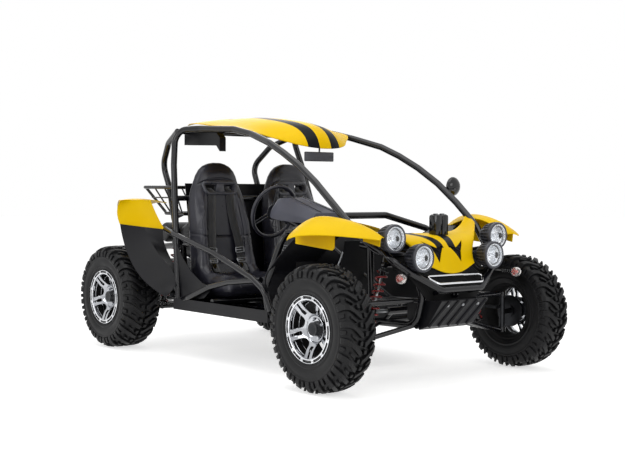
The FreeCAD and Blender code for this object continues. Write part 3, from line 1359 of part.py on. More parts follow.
def make_shock_absorbers():
    """A coil spring over a damper at each corner, eye to eye."""
    halves = []
    for low, high in zip(shock_feet(), places(SHOCK_TOP_SHARES)):
        along = high - low
        axis = toward(along, 1)
        rod = bar(low, high, size("damper_rod"))
        body = bar(low + axis * (along.Length / 2), high - axis * size("thin_tube"), size("damper_diameter"))
        spring = bar(
            low + axis * size("damper_diameter"), high - axis * size("damper_diameter"), size("spring_diameter"),
        )
        halves.append(fused([rod, body, spring]).cut([frame, cage, arms]))
    halves = [largest(half) for half in halves]
    return add_piece("shock_absorbers", Part.makeCompound(halves + [mirrored(half) for half in halves]))


def make_knuckles():
    """The post with its pins, the stub axle and the steering arm."""
    foot = kingpin_foot()
    post = Part.makeCylinder(size("kingpin_diameter") / 2, size("kingpin_height"), foot)
    pin_reach = size("joint_height")
    pins = Part.makeCylinder(
        size("pin_diameter") / 2, size("kingpin_height") + 2 * pin_reach, foot - UP * pin_reach,
    )
    hub_back = size("front_tyre_width") / 2 - size("rim_inset") - size("rim_recess") - size("rim_face")
    stub_end = KINGPIN_Y + size("kingpin_offset") + hub_back - size("rim_face") - size("panel")
    stub = bar(Vector(AXLE_X, KINGPIN_Y, AXLE_Z), Vector(AXLE_X, stub_end, AXLE_Z), size("axle_diameter"))
    thick = size("arm_bar")
    rod = rod_height()
    arm_top = rod - size("rod_diameter") / 2 - size("seat_gap") * 6
    arm = Part.makeBox(
        size("steering_arm") + thick, thick * 3 / 2, thick,
        Vector(AXLE_X - size("steering_arm") - thick, rod_end_y() - thick * 3 / 4, arm_top - thick),
    )
    web = Part.makeBox(
        thick, KINGPIN_Y - rod_end_y() + thick, thick,
        Vector(AXLE_X - thick, rod_end_y(), arm_top - thick),
    )
    shape = fused([post, pins, stub, arm, web])
    add_piece("knuckle_left", shape)
    add_piece("knuckle_right", mirrored(shape))


ROD_HEIGHT_SHARE = 0.045
ROD_END_SHARE = 0.36
RACK_SHARE = 0.93
RACK_REACH_SHARE = 0.30


def rod_height():
    return AXLE_Z + ROD_HEIGHT_SHARE * HEIGHT


def rod_end_y():
    return KINGPIN_Y - size("steering_arm") * ROD_END_SHARE


def rack_case():
    """The tube across the nose that the rack slides in, on two feet, and its bore."""
    x = RACK_SHARE * LENGTH
    half = HOUSING_SHARE * WIDTH
    case = bar(Vector(x, -half, rod_height()), Vector(x, half, rod_height()), size("rack_housing"))
    bore = bar(
        Vector(x, -half - size("overrun"), rod_height()),
        Vector(x, half + size("overrun"), rod_height()), size("rack_diameter") + 2 * size("running_gap"),
    )
    feet = []
    for side in (-1, 1):
        at = side * half * 3 / 4
        foot_x, foot_z = RACK_FOOT_SHARES
        foot = place(foot_x, at / WIDTH, foot_z)
        feet.append(bar(Vector(x, at, rod_height()), foot, size("thin_tube")))
    return fused([case] + feet), bore


HOUSING_SHARE = 0.19
RACK_FOOT_SHARES = (0.86, 0.30)


def make_steering_rack():
    """The sliding rack with a tie rod out to each knuckle's arm."""
    x = RACK_SHARE * LENGTH
    reach = RACK_REACH_SHARE * WIDTH
    height = rod_height()
    rack = bar(Vector(x, -reach, height), Vector(x, reach, height), size("rack_diameter"))
    shapes = [rack]
    for side in (-1, 1):
        end = Vector(AXLE_X - size("steering_arm"), side * rod_end_y(), height)
        shapes.append(bar(Vector(x, side * reach, height), end, size("rod_diameter")))
        shapes.append(Part.makeSphere(size("rack_diameter") * 3 / 5, Vector(x, side * reach, height)))
    return add_piece("steering_rack", fused(shapes))


def check_and_write():
    document.recompute()
    for item in document.Objects:
        bad = [state for state in item.State if state in ("Invalid", "Error")]
        if bad:
            raise RuntimeError(f"{item.Label} is {bad}")
    os.makedirs("parts", exist_ok=True)
    for item in pieces:
        shape = item.Shape
        if shape.isNull() or not shape.isValid() or not shape.Solids:
            raise RuntimeError(f"{item.Label} has no valid solid")
    for item in pieces:
        item.Shape.exportStep(os.path.join("parts", item.Label + ".step"))
        print(item.Label, len(item.Shape.Solids), round(item.Shape.Volume / 1e3, 1), "cm3")


frame = make_chassis_frame()
cage = make_roll_cage()
bars = make_side_bars()
column = make_steering_column()
floor = make_floor_pan()
panels = make_cabin_panels()
roof = make_roof_panel()
make_roof_box()
hood = make_hood()
fenders = make_front_fenders()
rear_fenders = make_rear_fenders()
make_mudguards()
make_dash()
make_steering_wheel()
seats = make_seats()
make_harness_belts()
make_small_controls()
bumper = make_front_bumper()
make_skid_plate()
make_headlamps()
make_signal_lamps()
make_mirrors()
make_reservoir()
make_rear_rack()
engine = make_engine()
make_muffler()
arms = make_suspension_arms()
make_rear_uprights()
make_shock_absorbers()
make_knuckles()
make_steering_rack()
for wheel_end, _ in WHEEL_ENDS:
    for side_name, side_sign in SIDES:
        make_tyre(wheel_end, side_name, side_sign)
        make_rim(wheel_end, side_name, side_sign)
        make_hub(wheel_end, side_name, side_sign)
check_and_write()
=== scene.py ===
# %% [markdown]
# # A two-seat dune buggy in yellow and black
# The welded tube frame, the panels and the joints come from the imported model, in metres.
# This notebook gives every surface its finish and adds what a simulation has no use for:
# tyre treads, stitched seats, lamp optics, coil springs and webbing.

# %% load the frame
import json
import math

import bmesh
import bpy
from mathutils import Matrix, Vector
from mathutils.bvhtree import BVHTree


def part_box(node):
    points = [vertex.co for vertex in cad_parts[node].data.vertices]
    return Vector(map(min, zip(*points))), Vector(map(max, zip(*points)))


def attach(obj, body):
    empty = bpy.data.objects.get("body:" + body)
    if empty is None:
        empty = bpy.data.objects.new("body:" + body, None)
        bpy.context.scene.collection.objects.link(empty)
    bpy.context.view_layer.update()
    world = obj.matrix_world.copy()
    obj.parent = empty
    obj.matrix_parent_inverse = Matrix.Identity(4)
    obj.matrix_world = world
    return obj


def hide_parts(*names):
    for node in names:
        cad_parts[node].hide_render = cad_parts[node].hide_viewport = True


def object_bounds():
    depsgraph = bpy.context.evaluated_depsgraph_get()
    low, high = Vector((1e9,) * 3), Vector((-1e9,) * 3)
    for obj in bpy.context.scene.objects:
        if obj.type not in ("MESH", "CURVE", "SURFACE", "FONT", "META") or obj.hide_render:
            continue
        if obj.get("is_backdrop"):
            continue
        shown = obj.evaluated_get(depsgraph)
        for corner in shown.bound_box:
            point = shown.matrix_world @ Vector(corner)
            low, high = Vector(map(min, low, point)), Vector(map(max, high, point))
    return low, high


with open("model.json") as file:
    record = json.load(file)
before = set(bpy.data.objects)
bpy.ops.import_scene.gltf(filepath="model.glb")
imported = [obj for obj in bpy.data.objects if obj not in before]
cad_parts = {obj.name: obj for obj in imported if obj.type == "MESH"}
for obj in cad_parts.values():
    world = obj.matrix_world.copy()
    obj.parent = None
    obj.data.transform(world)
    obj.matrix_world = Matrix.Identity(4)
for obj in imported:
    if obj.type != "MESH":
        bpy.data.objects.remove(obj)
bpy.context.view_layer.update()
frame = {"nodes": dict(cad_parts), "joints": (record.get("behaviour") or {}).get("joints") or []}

nodes = frame["nodes"]
MM = 0.001
AHEAD, ACROSS, UP = Vector((1, 0, 0)), Vector((0, 1, 0)), Vector((0, 0, 1))
SIDES = (-1, 1)
WHEELS = [(end, hand) for end in ("front", "rear") for hand in ("left", "right")]

# %% [markdown]
# ## Colour and material helpers
# A paint chart gives colours as sRGB hex values, while the renderer adds light in linear
# numbers, so one function turns the first into the second. Another adds a shader node with
# its settings and links in one line. The third builds what most real surfaces share: two
# close shades in soft patches, a fine grain that only the light shows, and uneven gloss.
# Patch, grain and relief are millimetres. Real grain is often under half a millimetre,
# too fine for this picture, so it is drawn from one millimetre upwards.

# %% colour and material helpers
def colour(hex_code):
    values = [int(hex_code[i:i + 2], 16) / 255 for i in (1, 3, 5)]
    linear = [v / 12.92 if v <= 0.04045 else ((v + 0.055) / 1.055) ** 2.4 for v in values]
    return (*linear, 1.0)


def add(tree, kind, settings=None, links=None):
    """Adds a node; keys are its inputs, by name or number, or its own settings."""
    made = tree.nodes.new(kind)
    for key, value in (settings or {}).items():
        if isinstance(key, int) or key in made.inputs:
            made.inputs[key].default_value = value
        else:
            setattr(made, key, value)
    for key, output in (links or {}).items():
        tree.links.new(output, made.inputs[key])
    return made


def shades(tree, factor, stops):
    """A colour ramp from (position, hex) stops."""
    ramp = add(tree, "ShaderNodeValToRGB", None, {"Fac": factor})
    for element, (position, hex_code) in zip(ramp.color_ramp.elements, stops):
        element.position = position
        element.color = colour(hex_code)
    return ramp.outputs["Color"]


def finish(name, dark, pale, patch, grain, relief, gloss, sockets=None):
    """Patches of two shades, grain in the bump, gloss between two roughness values."""
    material = bpy.data.materials.new(name)
    material.use_nodes = True
    tree = material.node_tree
    shader = tree.nodes["Principled BSDF"]
    where = {"Vector": add(tree, "ShaderNodeTexCoord").outputs["Object"]}
    blotch = add(tree, "ShaderNodeTexNoise", {"Scale": 1 / (patch * MM), "Detail": 4.0}, where).outputs["Fac"]
    speck = add(tree, "ShaderNodeTexNoise", {"Scale": 1 / (grain * MM), "Detail": 2.0}, where).outputs["Fac"]
    spread = add(
        tree, "ShaderNodeMapRange",
        {"From Min": 0.3, "From Max": 0.7, "To Min": gloss[0], "To Max": gloss[1]}, {"Value": blotch})
    bump = add(tree, "ShaderNodeBump", {"Distance": relief * MM}, {"Height": speck})
    tree.links.new(shades(tree, blotch, [(0.35, dark), (0.65, pale)]), shader.inputs["Base Color"])
    tree.links.new(spread.outputs["Result"], shader.inputs["Roughness"])
    tree.links.new(bump.outputs["Normal"], shader.inputs["Normal"])
    for key, value in (sockets or {}).items():
        shader.inputs[key].default_value = value
    return material


# %% [markdown]
# ## The camera
# The photograph is taken from the front right at chest height with a short telephoto lens,
# about five and a half metres from the nearest wheel, so the far wheels stay large. The
# place and the angles were found by fitting the four tyres' outlines.

# %% camera
CAMERA_PLACE = Vector((5.339, -4.350, 0.995))
CAMERA_YAW, CAMERA_PITCH, CAMERA_ROLL = (math.radians(a) for a in (140.36, -2.25, 0.37))
LENS = 67.1


def put_in_scene(name, data):
    made = bpy.data.objects.new(name, data)
    bpy.context.scene.collection.objects.link(made)
    return made


def laid_along(x, y, z):
    """The turn that lays the three axes along three directions."""
    return Matrix((x, y, z)).transposed().to_4x4()


ahead = Vector((
    math.cos(CAMERA_YAW) * math.cos(CAMERA_PITCH),
    math.sin(CAMERA_YAW) * math.cos(CAMERA_PITCH),
    math.sin(CAMERA_PITCH),
))
level = ahead.cross(UP).normalized()
upright = level.cross(ahead)
aside = level * math.cos(CAMERA_ROLL) + upright * math.sin(CAMERA_ROLL)
above = upright * math.cos(CAMERA_ROLL) - level * math.sin(CAMERA_ROLL)
camera = put_in_scene("camera", bpy.data.cameras.new("camera"))
camera.data.lens = LENS
camera.matrix_world = Matrix.Translation(CAMERA_PLACE) @ laid_along(aside, above, -ahead)
bpy.context.scene.camera = camera
print("camera", [round(v, 3) for v in CAMERA_PLACE], "lens", LENS)

# %% [markdown]
# ## Studio light
# A catalogue picture is lit by large soft boxes: one overhead, one from the camera's left
# that draws the highlights along the tubes, and weak ones in front and behind. Area lamps
# of the same size give the same wide, soft reflections.

# %% soft boxes
SOFT_BOXES = (
    # name, place, aimed at, width, height, watts
    ("overhead", (0.4, -0.6, 4.2), (0, 0, 0.5), 4.5, 3.5, 72),
    ("left_box", (0.5, -5.0, 2.6), (0, 0, 0.6), 2.4, 2.4, 52),
    ("front_box", (5.5, -0.5, 2.6), (0, 0, 0.6), 2.6, 2.0, 42),
    ("rear_box", (-4.5, 2.5, 3.0), (0, 0, 0.8), 3.0, 2.0, 36),
)
for name, place, target, width, height, watts in SOFT_BOXES:
    lamp = bpy.data.lights.new(name, "AREA")
    lamp.shape = "RECTANGLE"
    lamp.size, lamp.size_y, lamp.energy = width, height, watts
    holder = put_in_scene(name, lamp)
    holder.location = place
    holder.rotation_euler = (Vector(target) - Vector(place)).to_track_quat("-Z", "Y").to_euler()
print("soft boxes", len(SOFT_BOXES))

# %% [markdown]
# ## Background and floor
# The white background is only what the camera, reflections and clear parts see of the
# world, so it adds no light of its own. The floor gets a lift for the same rays alone, and
# keeps the buggy's shadow.

# %% background and floor
WHITE = colour("#FFFFFF")
GLOW = 0.42
FLOOR_SIZE = 60.0
FLOOR_LIFT = 0.62


def background_rays(tree):
    """One for the rays that show the background: camera, reflection and clear parts."""
    path = add(tree, "ShaderNodeLightPath").outputs
    seen = path["Is Camera Ray"]
    for kind in ("Is Glossy Ray", "Is Transmission Ray"):
        seen = add(tree, "ShaderNodeMath", {"operation": "MAXIMUM"}, {0: seen, 1: path[kind]}).outputs[0]
    return seen


world = bpy.data.worlds.new("studio")
bpy.context.scene.world = world
world.use_nodes = True
tree = world.node_tree
glow = tree.nodes["Background"]
glow.inputs["Color"].default_value = WHITE
glow.inputs["Strength"].default_value = GLOW
white = add(tree, "ShaderNodeBackground", {"Color": WHITE, "Strength": 1.0})
mix = add(tree, "ShaderNodeMixShader", None, {
    "Fac": background_rays(tree), 1: glow.outputs["Background"], 2: white.outputs["Background"]})
tree.links.new(mix.outputs["Shader"], tree.nodes["World Output"].inputs["Surface"])

floor_mesh = bpy.data.meshes.new("studio_floor")
floor_corners = [(x * FLOOR_SIZE / 2, y * FLOOR_SIZE / 2, 0) for x, y in ((-1, -1), (1, -1), (1, 1), (-1, 1))]
floor_mesh.from_pydata(floor_corners, [], [(0, 1, 2, 3)])
studio_floor = put_in_scene("studio_floor", floor_mesh)
floor_paint = finish("painted_studio_floor", "#F0F0EF", "#F4F4F3", 1500, 4, 0.05, (0.75, 0.85))
tree = floor_paint.node_tree
lift = add(tree, "ShaderNodeMath", {"operation": "MULTIPLY", 1: FLOOR_LIFT}, {0: background_rays(tree)})
tree.nodes["Principled BSDF"].inputs["Emission Color"].default_value = WHITE
tree.links.new(lift.outputs[0], tree.nodes["Principled BSDF"].inputs["Emission Strength"])
studio_floor.data.materials.append(floor_paint)
studio_floor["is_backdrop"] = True
bpy.context.scene.view_settings.view_transform = "Standard"
print("floor", FLOOR_SIZE, "m wide, world strength", GLOW)

# %% [markdown]
# ## Moulded yellow body plastic
# The roof, nose and wings are pigmented plastic moulded against a polished tool: a deep
# even yellow with a clear, slightly soft reflection. The roof carries two dark stripes of
# glossy film. They lie at a fixed distance from the centre plane, so the distance of a
# point from that plane says whether it is under film. No picture has to be wrapped round.

# %% yellow plastic
YELLOW = ("#F0C200", "#FACF04", 300, 2.5, 0.04, (0.34, 0.44), {"Specular IOR Level": 0.10, "IOR": 1.45})
FILM_BLACK = "#0B0D11"
STRIPE_MIDDLE = 80 * MM
STRIPE_WIDTH = 76 * MM
STRIPE_EDGE = 1 * MM


def from_centre_plane(tree):
    """A point's three coordinates, and how far it lies from the centre plane."""
    place = add(tree, "ShaderNodeTexCoord").outputs["Object"]
    where = add(tree, "ShaderNodeSeparateXYZ", None, {"Vector": place}).outputs
    return where, add(tree, "ShaderNodeMath", {"operation": "ABSOLUTE"}, {0: where["Y"]}).outputs[0]


def lay_film(material, film):
    """Covers the pigment with film where `film` is one."""
    tree = material.node_tree
    base = tree.nodes["Principled BSDF"].inputs["Base Color"]
    pigment = base.links[0].from_socket
    blend = add(tree, "ShaderNodeMix", {"data_type": "RGBA", 7: colour(FILM_BLACK)}, {0: film, 6: pigment})
    tree.links.new(blend.outputs[2], base)


yellow = finish("moulded_yellow_plastic", *YELLOW)
striped = finish("yellow_plastic_with_film_stripes", *YELLOW)
tree = striped.node_tree
_, side = from_centre_plane(tree)
off = add(tree, "ShaderNodeMath", {"operation": "SUBTRACT", 1: STRIPE_MIDDLE}, {0: side}).outputs[0]
off = add(tree, "ShaderNodeMath", {"operation": "ABSOLUTE"}, {0: off}).outputs[0]
half = STRIPE_WIDTH / 2
stripe = {"From Min": half - STRIPE_EDGE, "From Max": half, "To Min": 1.0, "To Max": 0.0}
lay_film(striped, add(tree, "ShaderNodeMapRange", stripe, {"Value": off}).outputs["Result"])
print("stripes", STRIPE_WIDTH, "m wide")

# %% [markdown]
# On the nose the same two films run forward, narrow and close in, and end where the two
# pointed openings start, so their middle and their width are graded along the nose.

# %% nose film
HOOD_FILM = (0.95, 1.155)
HOOD_FILM_MIDDLE = (108 * MM, 44 * MM)
HOOD_FILM_HALF = (42 * MM, 25 * MM)
HOOD_FILM_END = 0.694

hood_plastic = finish("nose_plastic_with_film", *YELLOW)
tree = hood_plastic.node_tree
where, side = from_centre_plane(tree)
graded = []
for first, last in (HOOD_FILM_MIDDLE, HOOD_FILM_HALF):
    grade = {"From Min": HOOD_FILM[0], "From Max": HOOD_FILM[1], "To Min": first, "To Max": last}
    graded.append(add(tree, "ShaderNodeMapRange", grade, {"Value": where["X"]}).outputs["Result"])
off = add(tree, "ShaderNodeMath", {"operation": "SUBTRACT"}, {0: side, 1: graded[0]}).outputs[0]
off = add(tree, "ShaderNodeMath", {"operation": "ABSOLUTE"}, {0: off}).outputs[0]
inside = add(tree, "ShaderNodeMath", {"operation": "LESS_THAN"}, {0: off, 1: graded[1]}).outputs[0]
end = {"operation": "GREATER_THAN", 1: HOOD_FILM_END}
high = add(tree, "ShaderNodeMath", end, {0: where["Z"]}).outputs[0]
film = add(tree, "ShaderNodeMath", {"operation": "MULTIPLY"}, {0: inside, 1: high})
lay_film(hood_plastic, film.outputs[0])
print("nose film from", HOOD_FILM[0], "to", HOOD_FILM[1])

# %% [markdown]
# ## Black finishes
# Black is never one thing on a buggy. The tubes are powder coated, the liners come
# straight from a grained tool, the cowl is a greyer plastic and the seats are vinyl. What
# tells them apart is how they shine, so each has its own grain, relief and gloss.

# %% coatings and plastics
# Powder coat: satin, with a faint orange peel that breaks up the highlights.
powder_coat = finish("black_powder_coat", "#08080C", "#0F0F15", 200, 1.8, 0.05, (0.15, 0.24), {"IOR": 1.47})
# Polypropylene from a grained tool: dull, with almost no reflection.
liner_plastic = finish(
    "grained_black_polypropylene", "#07070B", "#0C0C12", 250, 1.2, 0.10, (0.36, 0.50), {"IOR": 1.32})
# Soft-touch plastic: a lighter grey that takes the light evenly.
cowl_plastic = finish(
    "soft_touch_grey_plastic", "#3E3F4A", "#494B57", 150, 1.2, 0.08, (0.38, 0.5), {"IOR": 1.42})
# Glass-filled nylon, moulded: grey, a little shinier than the cowl.
slot_grey = finish("moulded_grey_nylon", "#3C3D44", "#4A4B53", 120, 1.2, 0.06, (0.26, 0.36), {"IOR": 1.45})
lamp_plastic = finish("dark_grey_nylon", "#26282E", "#303238", 100, 1.2, 0.06, (0.30, 0.42), {"IOR": 1.45})
# Polished ABS: deep black with a sharp reflection.
gloss_black = finish("gloss_black_abs", "#08090B", "#0D0E11", 200, 3, 0.02, (0.08, 0.14), {"IOR": 1.5})
# Painted shade: a black darker than the liners and without shine, for the wheel barrels and the hood lining.
painted_shade_black = finish("black_plastic_painted_shade", "#040405", "#070708", 100, 1.2, 0.06, (0.6, 0.75), {"IOR": 1.3})
print("materials", len(bpy.data.materials))

# %% vinyl, webbing and rubber
# Vinyl with a leather print: pebbles that catch soft highlights on the bolsters.
vinyl = finish("leather_print_vinyl", "#1C1C24", "#282832", 120, 1.6, 0.16, (0.26, 0.38), {"IOR": 1.45})
# Woven polyester: dull, with a pale bloom where it is seen edge on.
webbing = finish(
    "woven_black_webbing", "#0A0A0F", "#141419", 50, 1.4, 0.25, (0.6, 0.75), {"Sheen Weight": 0.3})
# Rubber from a steel mould: nearly black with a waxy half shine.
rubber = finish("tyre_rubber", "#09090B", "#121214", 100, 2.5, 0.16, (0.40, 0.58), {"IOR": 1.33})
print("materials", len(bpy.data.materials))

# %% [markdown]
# ## Metals and lamp parts
# The rims are chrome plated: nearly white metal that shows the studio, as on the bead ring.
# The spoke plates, lines and nuts get a copy painted darker, as painted shade and painted dark
# reflection for the deep wheel. Small fittings are zinc plated, forged parts are phosphated,
# the engine is sand cast, the silencer wears black stove enamel and the springs dark red
# enamel. The lamps have clear glass over a bright reflector. The base colour of a metal is the
# colour of what it reflects.

# %% metals
METAL = {"Metallic": 1.0}
# Chrome over nickel: nearly smooth, so it shows the studio in sharp shapes. Its base is painted a shade
# darker than the bead ring's, as painted shade and painted dark reflection for the deep wheel.
shade_darkened_chrome = finish("chrome_plate_darkened_for_shade", "#9FA1A6", "#BCBEC2", 100, 4, 0.02, (0.06, 0.11), METAL)
bright_chrome = finish("polished_bead_ring", "#D2D4D8", "#E2E3E6", 100, 4, 0.02, (0.05, 0.09), METAL)
# Zinc plate: pale and slightly cloudy.
steel = finish("zinc_plated_steel", "#8E9093", "#A9ABAE", 60, 1.2, 0.06, (0.30, 0.45), METAL)
# Phosphated forgings: dark grey with a dry sheen.
dark_steel = finish("phosphated_dark_steel", "#2E2F31", "#3C3D40", 50, 1.2, 0.08, (0.34, 0.48), METAL)
# Sand castings: coarse skin that scatters the light.
cast_alloy = finish("sand_cast_alloy", "#4A4B4D", "#606163", 80, 1.6, 0.30, (0.45, 0.60), METAL)
# Enamels, baked on: a skin of paint with its own soft reflection.
stove_enamel = finish("black_stove_enamel", "#151517", "#1E1E20", 100, 1.5, 0.08, (0.40, 0.55), {"IOR": 1.45})
red_enamel = finish("red_spring_enamel", "#6C0708", "#8A0C0E", 80, 2, 0.03, (0.22, 0.32), {"IOR": 1.5})
print("materials", len(bpy.data.materials))

# %% lamp and mirror finishes
# Vapour-coated plastic: a soft mirror.
reflector = finish("vapour_coated_reflector", "#DCDEE2", "#F0F1F3", 30, 4, 0.06, (0.20, 0.28), METAL)
# Silvered glass: the sharpest mirror on the buggy.
mirror_metal = finish("silvered_mirror", "#E8EAEC", "#F4F6F8", 100, 10, 0.01, (0.02, 0.03), METAL)
# Pressed glass: clear, with a slight ripple.
lamp_glass = finish(
    "pressed_lamp_glass", "#EEF1F4", "#FFFFFF", 50, 5, 0.22, (0.06, 0.12),
    {"Transmission Weight": 1.0, "IOR": 1.5})
# Acrylic: clear for the indicators, dyed for the bulbs and the tail lamps.
clear_lens = finish(
    "clear_indicator_lens", "#F6F2F0", "#FFFCFA", 30, 3, 0.12, (0.03, 0.07),
    {"Transmission Weight": 0.95, "IOR": 1.45})
orange_bulb = finish("orange_bulb_glass", "#9C1E10", "#C2341A", 30, 3, 0.10, (0.15, 0.25), {"IOR": 1.49})
red_lens = finish("red_tail_lens", "#7C0508", "#A00A0E", 30, 3, 0.20, (0.08, 0.14), {"IOR": 1.49})
print("materials", len(bpy.data.materials))

# %% [markdown]
# ## Finishes on the frame's own pieces
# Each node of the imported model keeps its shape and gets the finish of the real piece. The
# nodes are listed by finish, because a finish is what like pieces share.

# %% finish the nodes
NODE_FINISHES = (
    (powder_coat, "chassis_frame roll_cage side_bars front_bumper rear_rack suspension_arms steering_column"),
    (liner_plastic, "floor_pan cabin_panels mudguards skid_plate roof_rear_trim"),
    (yellow, "front_fenders rear_fenders"),
    (striped, "roof_panel"),
    (hood_plastic, "hood"),
    (cowl_plastic, "dash"),
    (vinyl, "seats steering_wheel"),
    (webbing, "harness_belts"),
    (lamp_plastic, "headlamp_housings"),
    (lamp_glass, "headlamp_lenses"),
    (clear_lens, "signal_lamps"),
    (gloss_black, "mirrors nose_reservoir"),
    (cast_alloy, "engine_block"),
    (stove_enamel, "silencer"),
    (red_enamel, "shock_absorbers"),
    (steel, "small_controls steering_rack"),
    (dark_steel, "rear_uprights knuckle_left knuckle_right"),
    (rubber, " ".join(f"tyre_{end}_{hand}" for end, hand in WHEELS)),
    # The imported rims take the chrome that is painted darker for shade.
    (shade_darkened_chrome, " ".join(f"rim_{end}_{hand}" for end, hand in WHEELS)),
    (dark_steel, " ".join(f"hub_{end}_{hand}" for end, hand in WHEELS)),
)
for material, names in NODE_FINISHES:
    for name in names.split():
        nodes[name].data.materials.clear()
        nodes[name].data.materials.append(material)
print("finished nodes", sum(len(names.split()) for _, names in NODE_FINISHES))

# %% [markdown]
# ## Shapes from rings of points
# Most pieces below are rings of points joined in turn. A turned part is one profile at each
# angle about its axle, a bent bar is one circle at each point of its line, and a moulding
# is one outline at each station. One function joins the rings by quads, and the others only
# work out where their points lie.

# %% ring helpers
def skin(mesh, rings, around=True, ends=True, looped=False, smooth=False):
    """Joins rings; `around` closes each one, `ends` caps the row, `looped` joins its ends.
    Which way the faces look is left to mesh_piece."""
    rings = [[mesh.verts.new(point) for point in ring] for ring in rings]
    count = len(rings[0])
    pairs = list(zip(rings, rings[1:]))
    if looped:
        pairs.append((rings[-1], rings[0]))
    for here, there in pairs:
        for index in range(count if around else count - 1):
            after = (index + 1) % count
            mesh.faces.new((here[index], here[after], there[after], there[index])).smooth = smooth
    if ends:
        mesh.faces.new(rings[0])
        mesh.faces.new(list(reversed(rings[-1])))


def about_axis(axial, radius, angle):
    """A wheel is modelled about +Y, with its outer side towards +Y."""
    return Vector((radius * math.sin(angle), axial, radius * math.cos(angle)))


def lathe(mesh, outline, count, closed=False, smooth=True, space=Matrix()):
    """Turns an outline of (axial, radius) points about the axle of a given space."""
    angles = [math.tau * step / count for step in range(count)]
    rings = [[space @ about_axis(a, r, angle) for a, r in outline] for angle in angles]
    skin(mesh, rings, around=closed, ends=False, looped=True, smooth=smooth)


def in_metres(points, start=0.0):
    """Points in millimetres, the first number counted from `start`."""
    return [(start + a * MM, b * MM) for a, b in points]


def mesh_piece(name, mesh, material):
    """A bmesh becomes an object with one finish."""
    bmesh.ops.recalc_face_normals(mesh, faces=mesh.faces)
    data = bpy.data.meshes.new(name)
    mesh.to_mesh(data)
    mesh.free()
    data.materials.append(material)
    return put_in_scene(name, data)


# %% [markdown]
# ## Tyres
# Each tyre is a smooth carcass with moulded tread blocks. The carcass is turned from a
# section: crown, rounded shoulder, a sidewall with two raised rings, and the bead. A block
# is a strip laid over that section by a few stations, each with its way along the section,
# its angle and its half width, and raised to a narrower top as a mould's draft leaves it.
# Every pitch has a claw that starts at the shoulder and hooks down to the crown, a hook, a
# centre knob and a shoulder tooth, and the two sides of the tread are half a pitch apart.
# The section is written for the front tyre and stretched across for the wider rear one.

# %% tyre section and tread blocks
TYRE_RADIUS = 315 * MM
CARCASS_WIDTH = 200 * MM
CARCASS_FACETS = 132
CARCASS = in_metres((
    (0, 299), (20, 298.8), (40, 298), (58, 296), (70, 292), (79, 286), (86, 277), (91, 266), (94, 256),
    (95.4, 250), (98.2, 247.5), (98.4, 243.5), (96.2, 240), (97.4, 230), (97.4, 214), (95.6, 203),
    (93.2, 195), (91.4, 191), (94.6, 187.5), (94.8, 183.5), (92.6, 180.5), (89.5, 179), (88, 172),
    (85, 166), (80, 161), (78, 153),
))
PITCHES = 22
BLOCKS = (
    # way along the section in millimetres, angle and half width in shares of a pitch
    ((4, -0.56, 0.165), (16, -0.50, 0.185), (32, -0.34, 0.190), (48, -0.15, 0.185), (64, 0.02, 0.190),
     (80, 0.11, 0.205), (96, 0.14, 0.220), (112, 0.14, 0.225), (124, 0.14, 0.215)),
    ((40, 0.22, 0.085), (50, 0.34, 0.100), (60, 0.45, 0.095), (68, 0.50, 0.080)),
    ((5, 0.02, 0.140), (15, 0.04, 0.160), (25, 0.02, 0.120)),
    ((88, 0.64, 0.125), (100, 0.65, 0.150), (112, 0.65, 0.150), (120, 0.65, 0.135)),
)
DRAFT = 0.80
END_DRAFT = 2.2 * MM
LUG_HEIGHT, LUG_FADE = 16.5 * MM, 11.5 * MM
FADE_START, FADE_END = 70 * MM, 126 * MM
LUG_ROOT = 1.5 * MM
LUG_EDGE = 1.6 * MM
LUG_SHARP = math.radians(35)


def measure(outline):
    """The way along an outline at each of its points."""
    way = [0.0]
    for (a0, r0), (a1, r1) in zip(outline, outline[1:]):
        way.append(way[-1] + math.hypot(a1 - a0, r1 - r0))
    return way


def point_on(outline, way, s):
    """Place and outward normal at a way s along an outline that starts at the crown."""
    for index in range(len(outline) - 1):
        if s <= way[index + 1] or index == len(outline) - 2:
            break
    (a0, r0), (a1, r1) = outline[index], outline[index + 1]
    share = (s - way[index]) / (way[index + 1] - way[index])
    along = Vector((a1 - a0, r1 - r0)).normalized()
    return Vector((a0 + (a1 - a0) * share, r0 + (r1 - r0) * share)), Vector((-along.y, along.x))


def lug_height(s):
    """Full depth on the crown, fading out down the shoulder."""
    return LUG_HEIGHT - LUG_FADE * max(0.0, s - FADE_START) / (FADE_END - FADE_START)


print("carcass section", round(measure(CARCASS)[-1], 3), "m long")


# %% one tyre
def add_lug(mesh, stations, way, stretch, side, angle, roll):
    pitch = math.tau / PITCHES
    rows = []
    for index, (s, turn, half) in enumerate(stations):
        s = s * MM
        at, normal = point_on(CARCASS, way, s)
        inset = {0: END_DRAFT, len(stations) - 1: -END_DRAFT}.get(index, 0.0)
        top = point_on(CARCASS, way, s + inset)[0] + normal * lug_height(s)
        base = at - normal * LUG_ROOT
        middle = angle + roll * turn * pitch
        rows.append([
            about_axis(side * spot.x * stretch, min(spot.y, TYRE_RADIUS), middle + share * half * pitch)
            for spot, share in ((base, -1), (top, -DRAFT), (top, DRAFT), (base, 1))])
    skin(mesh, rows)


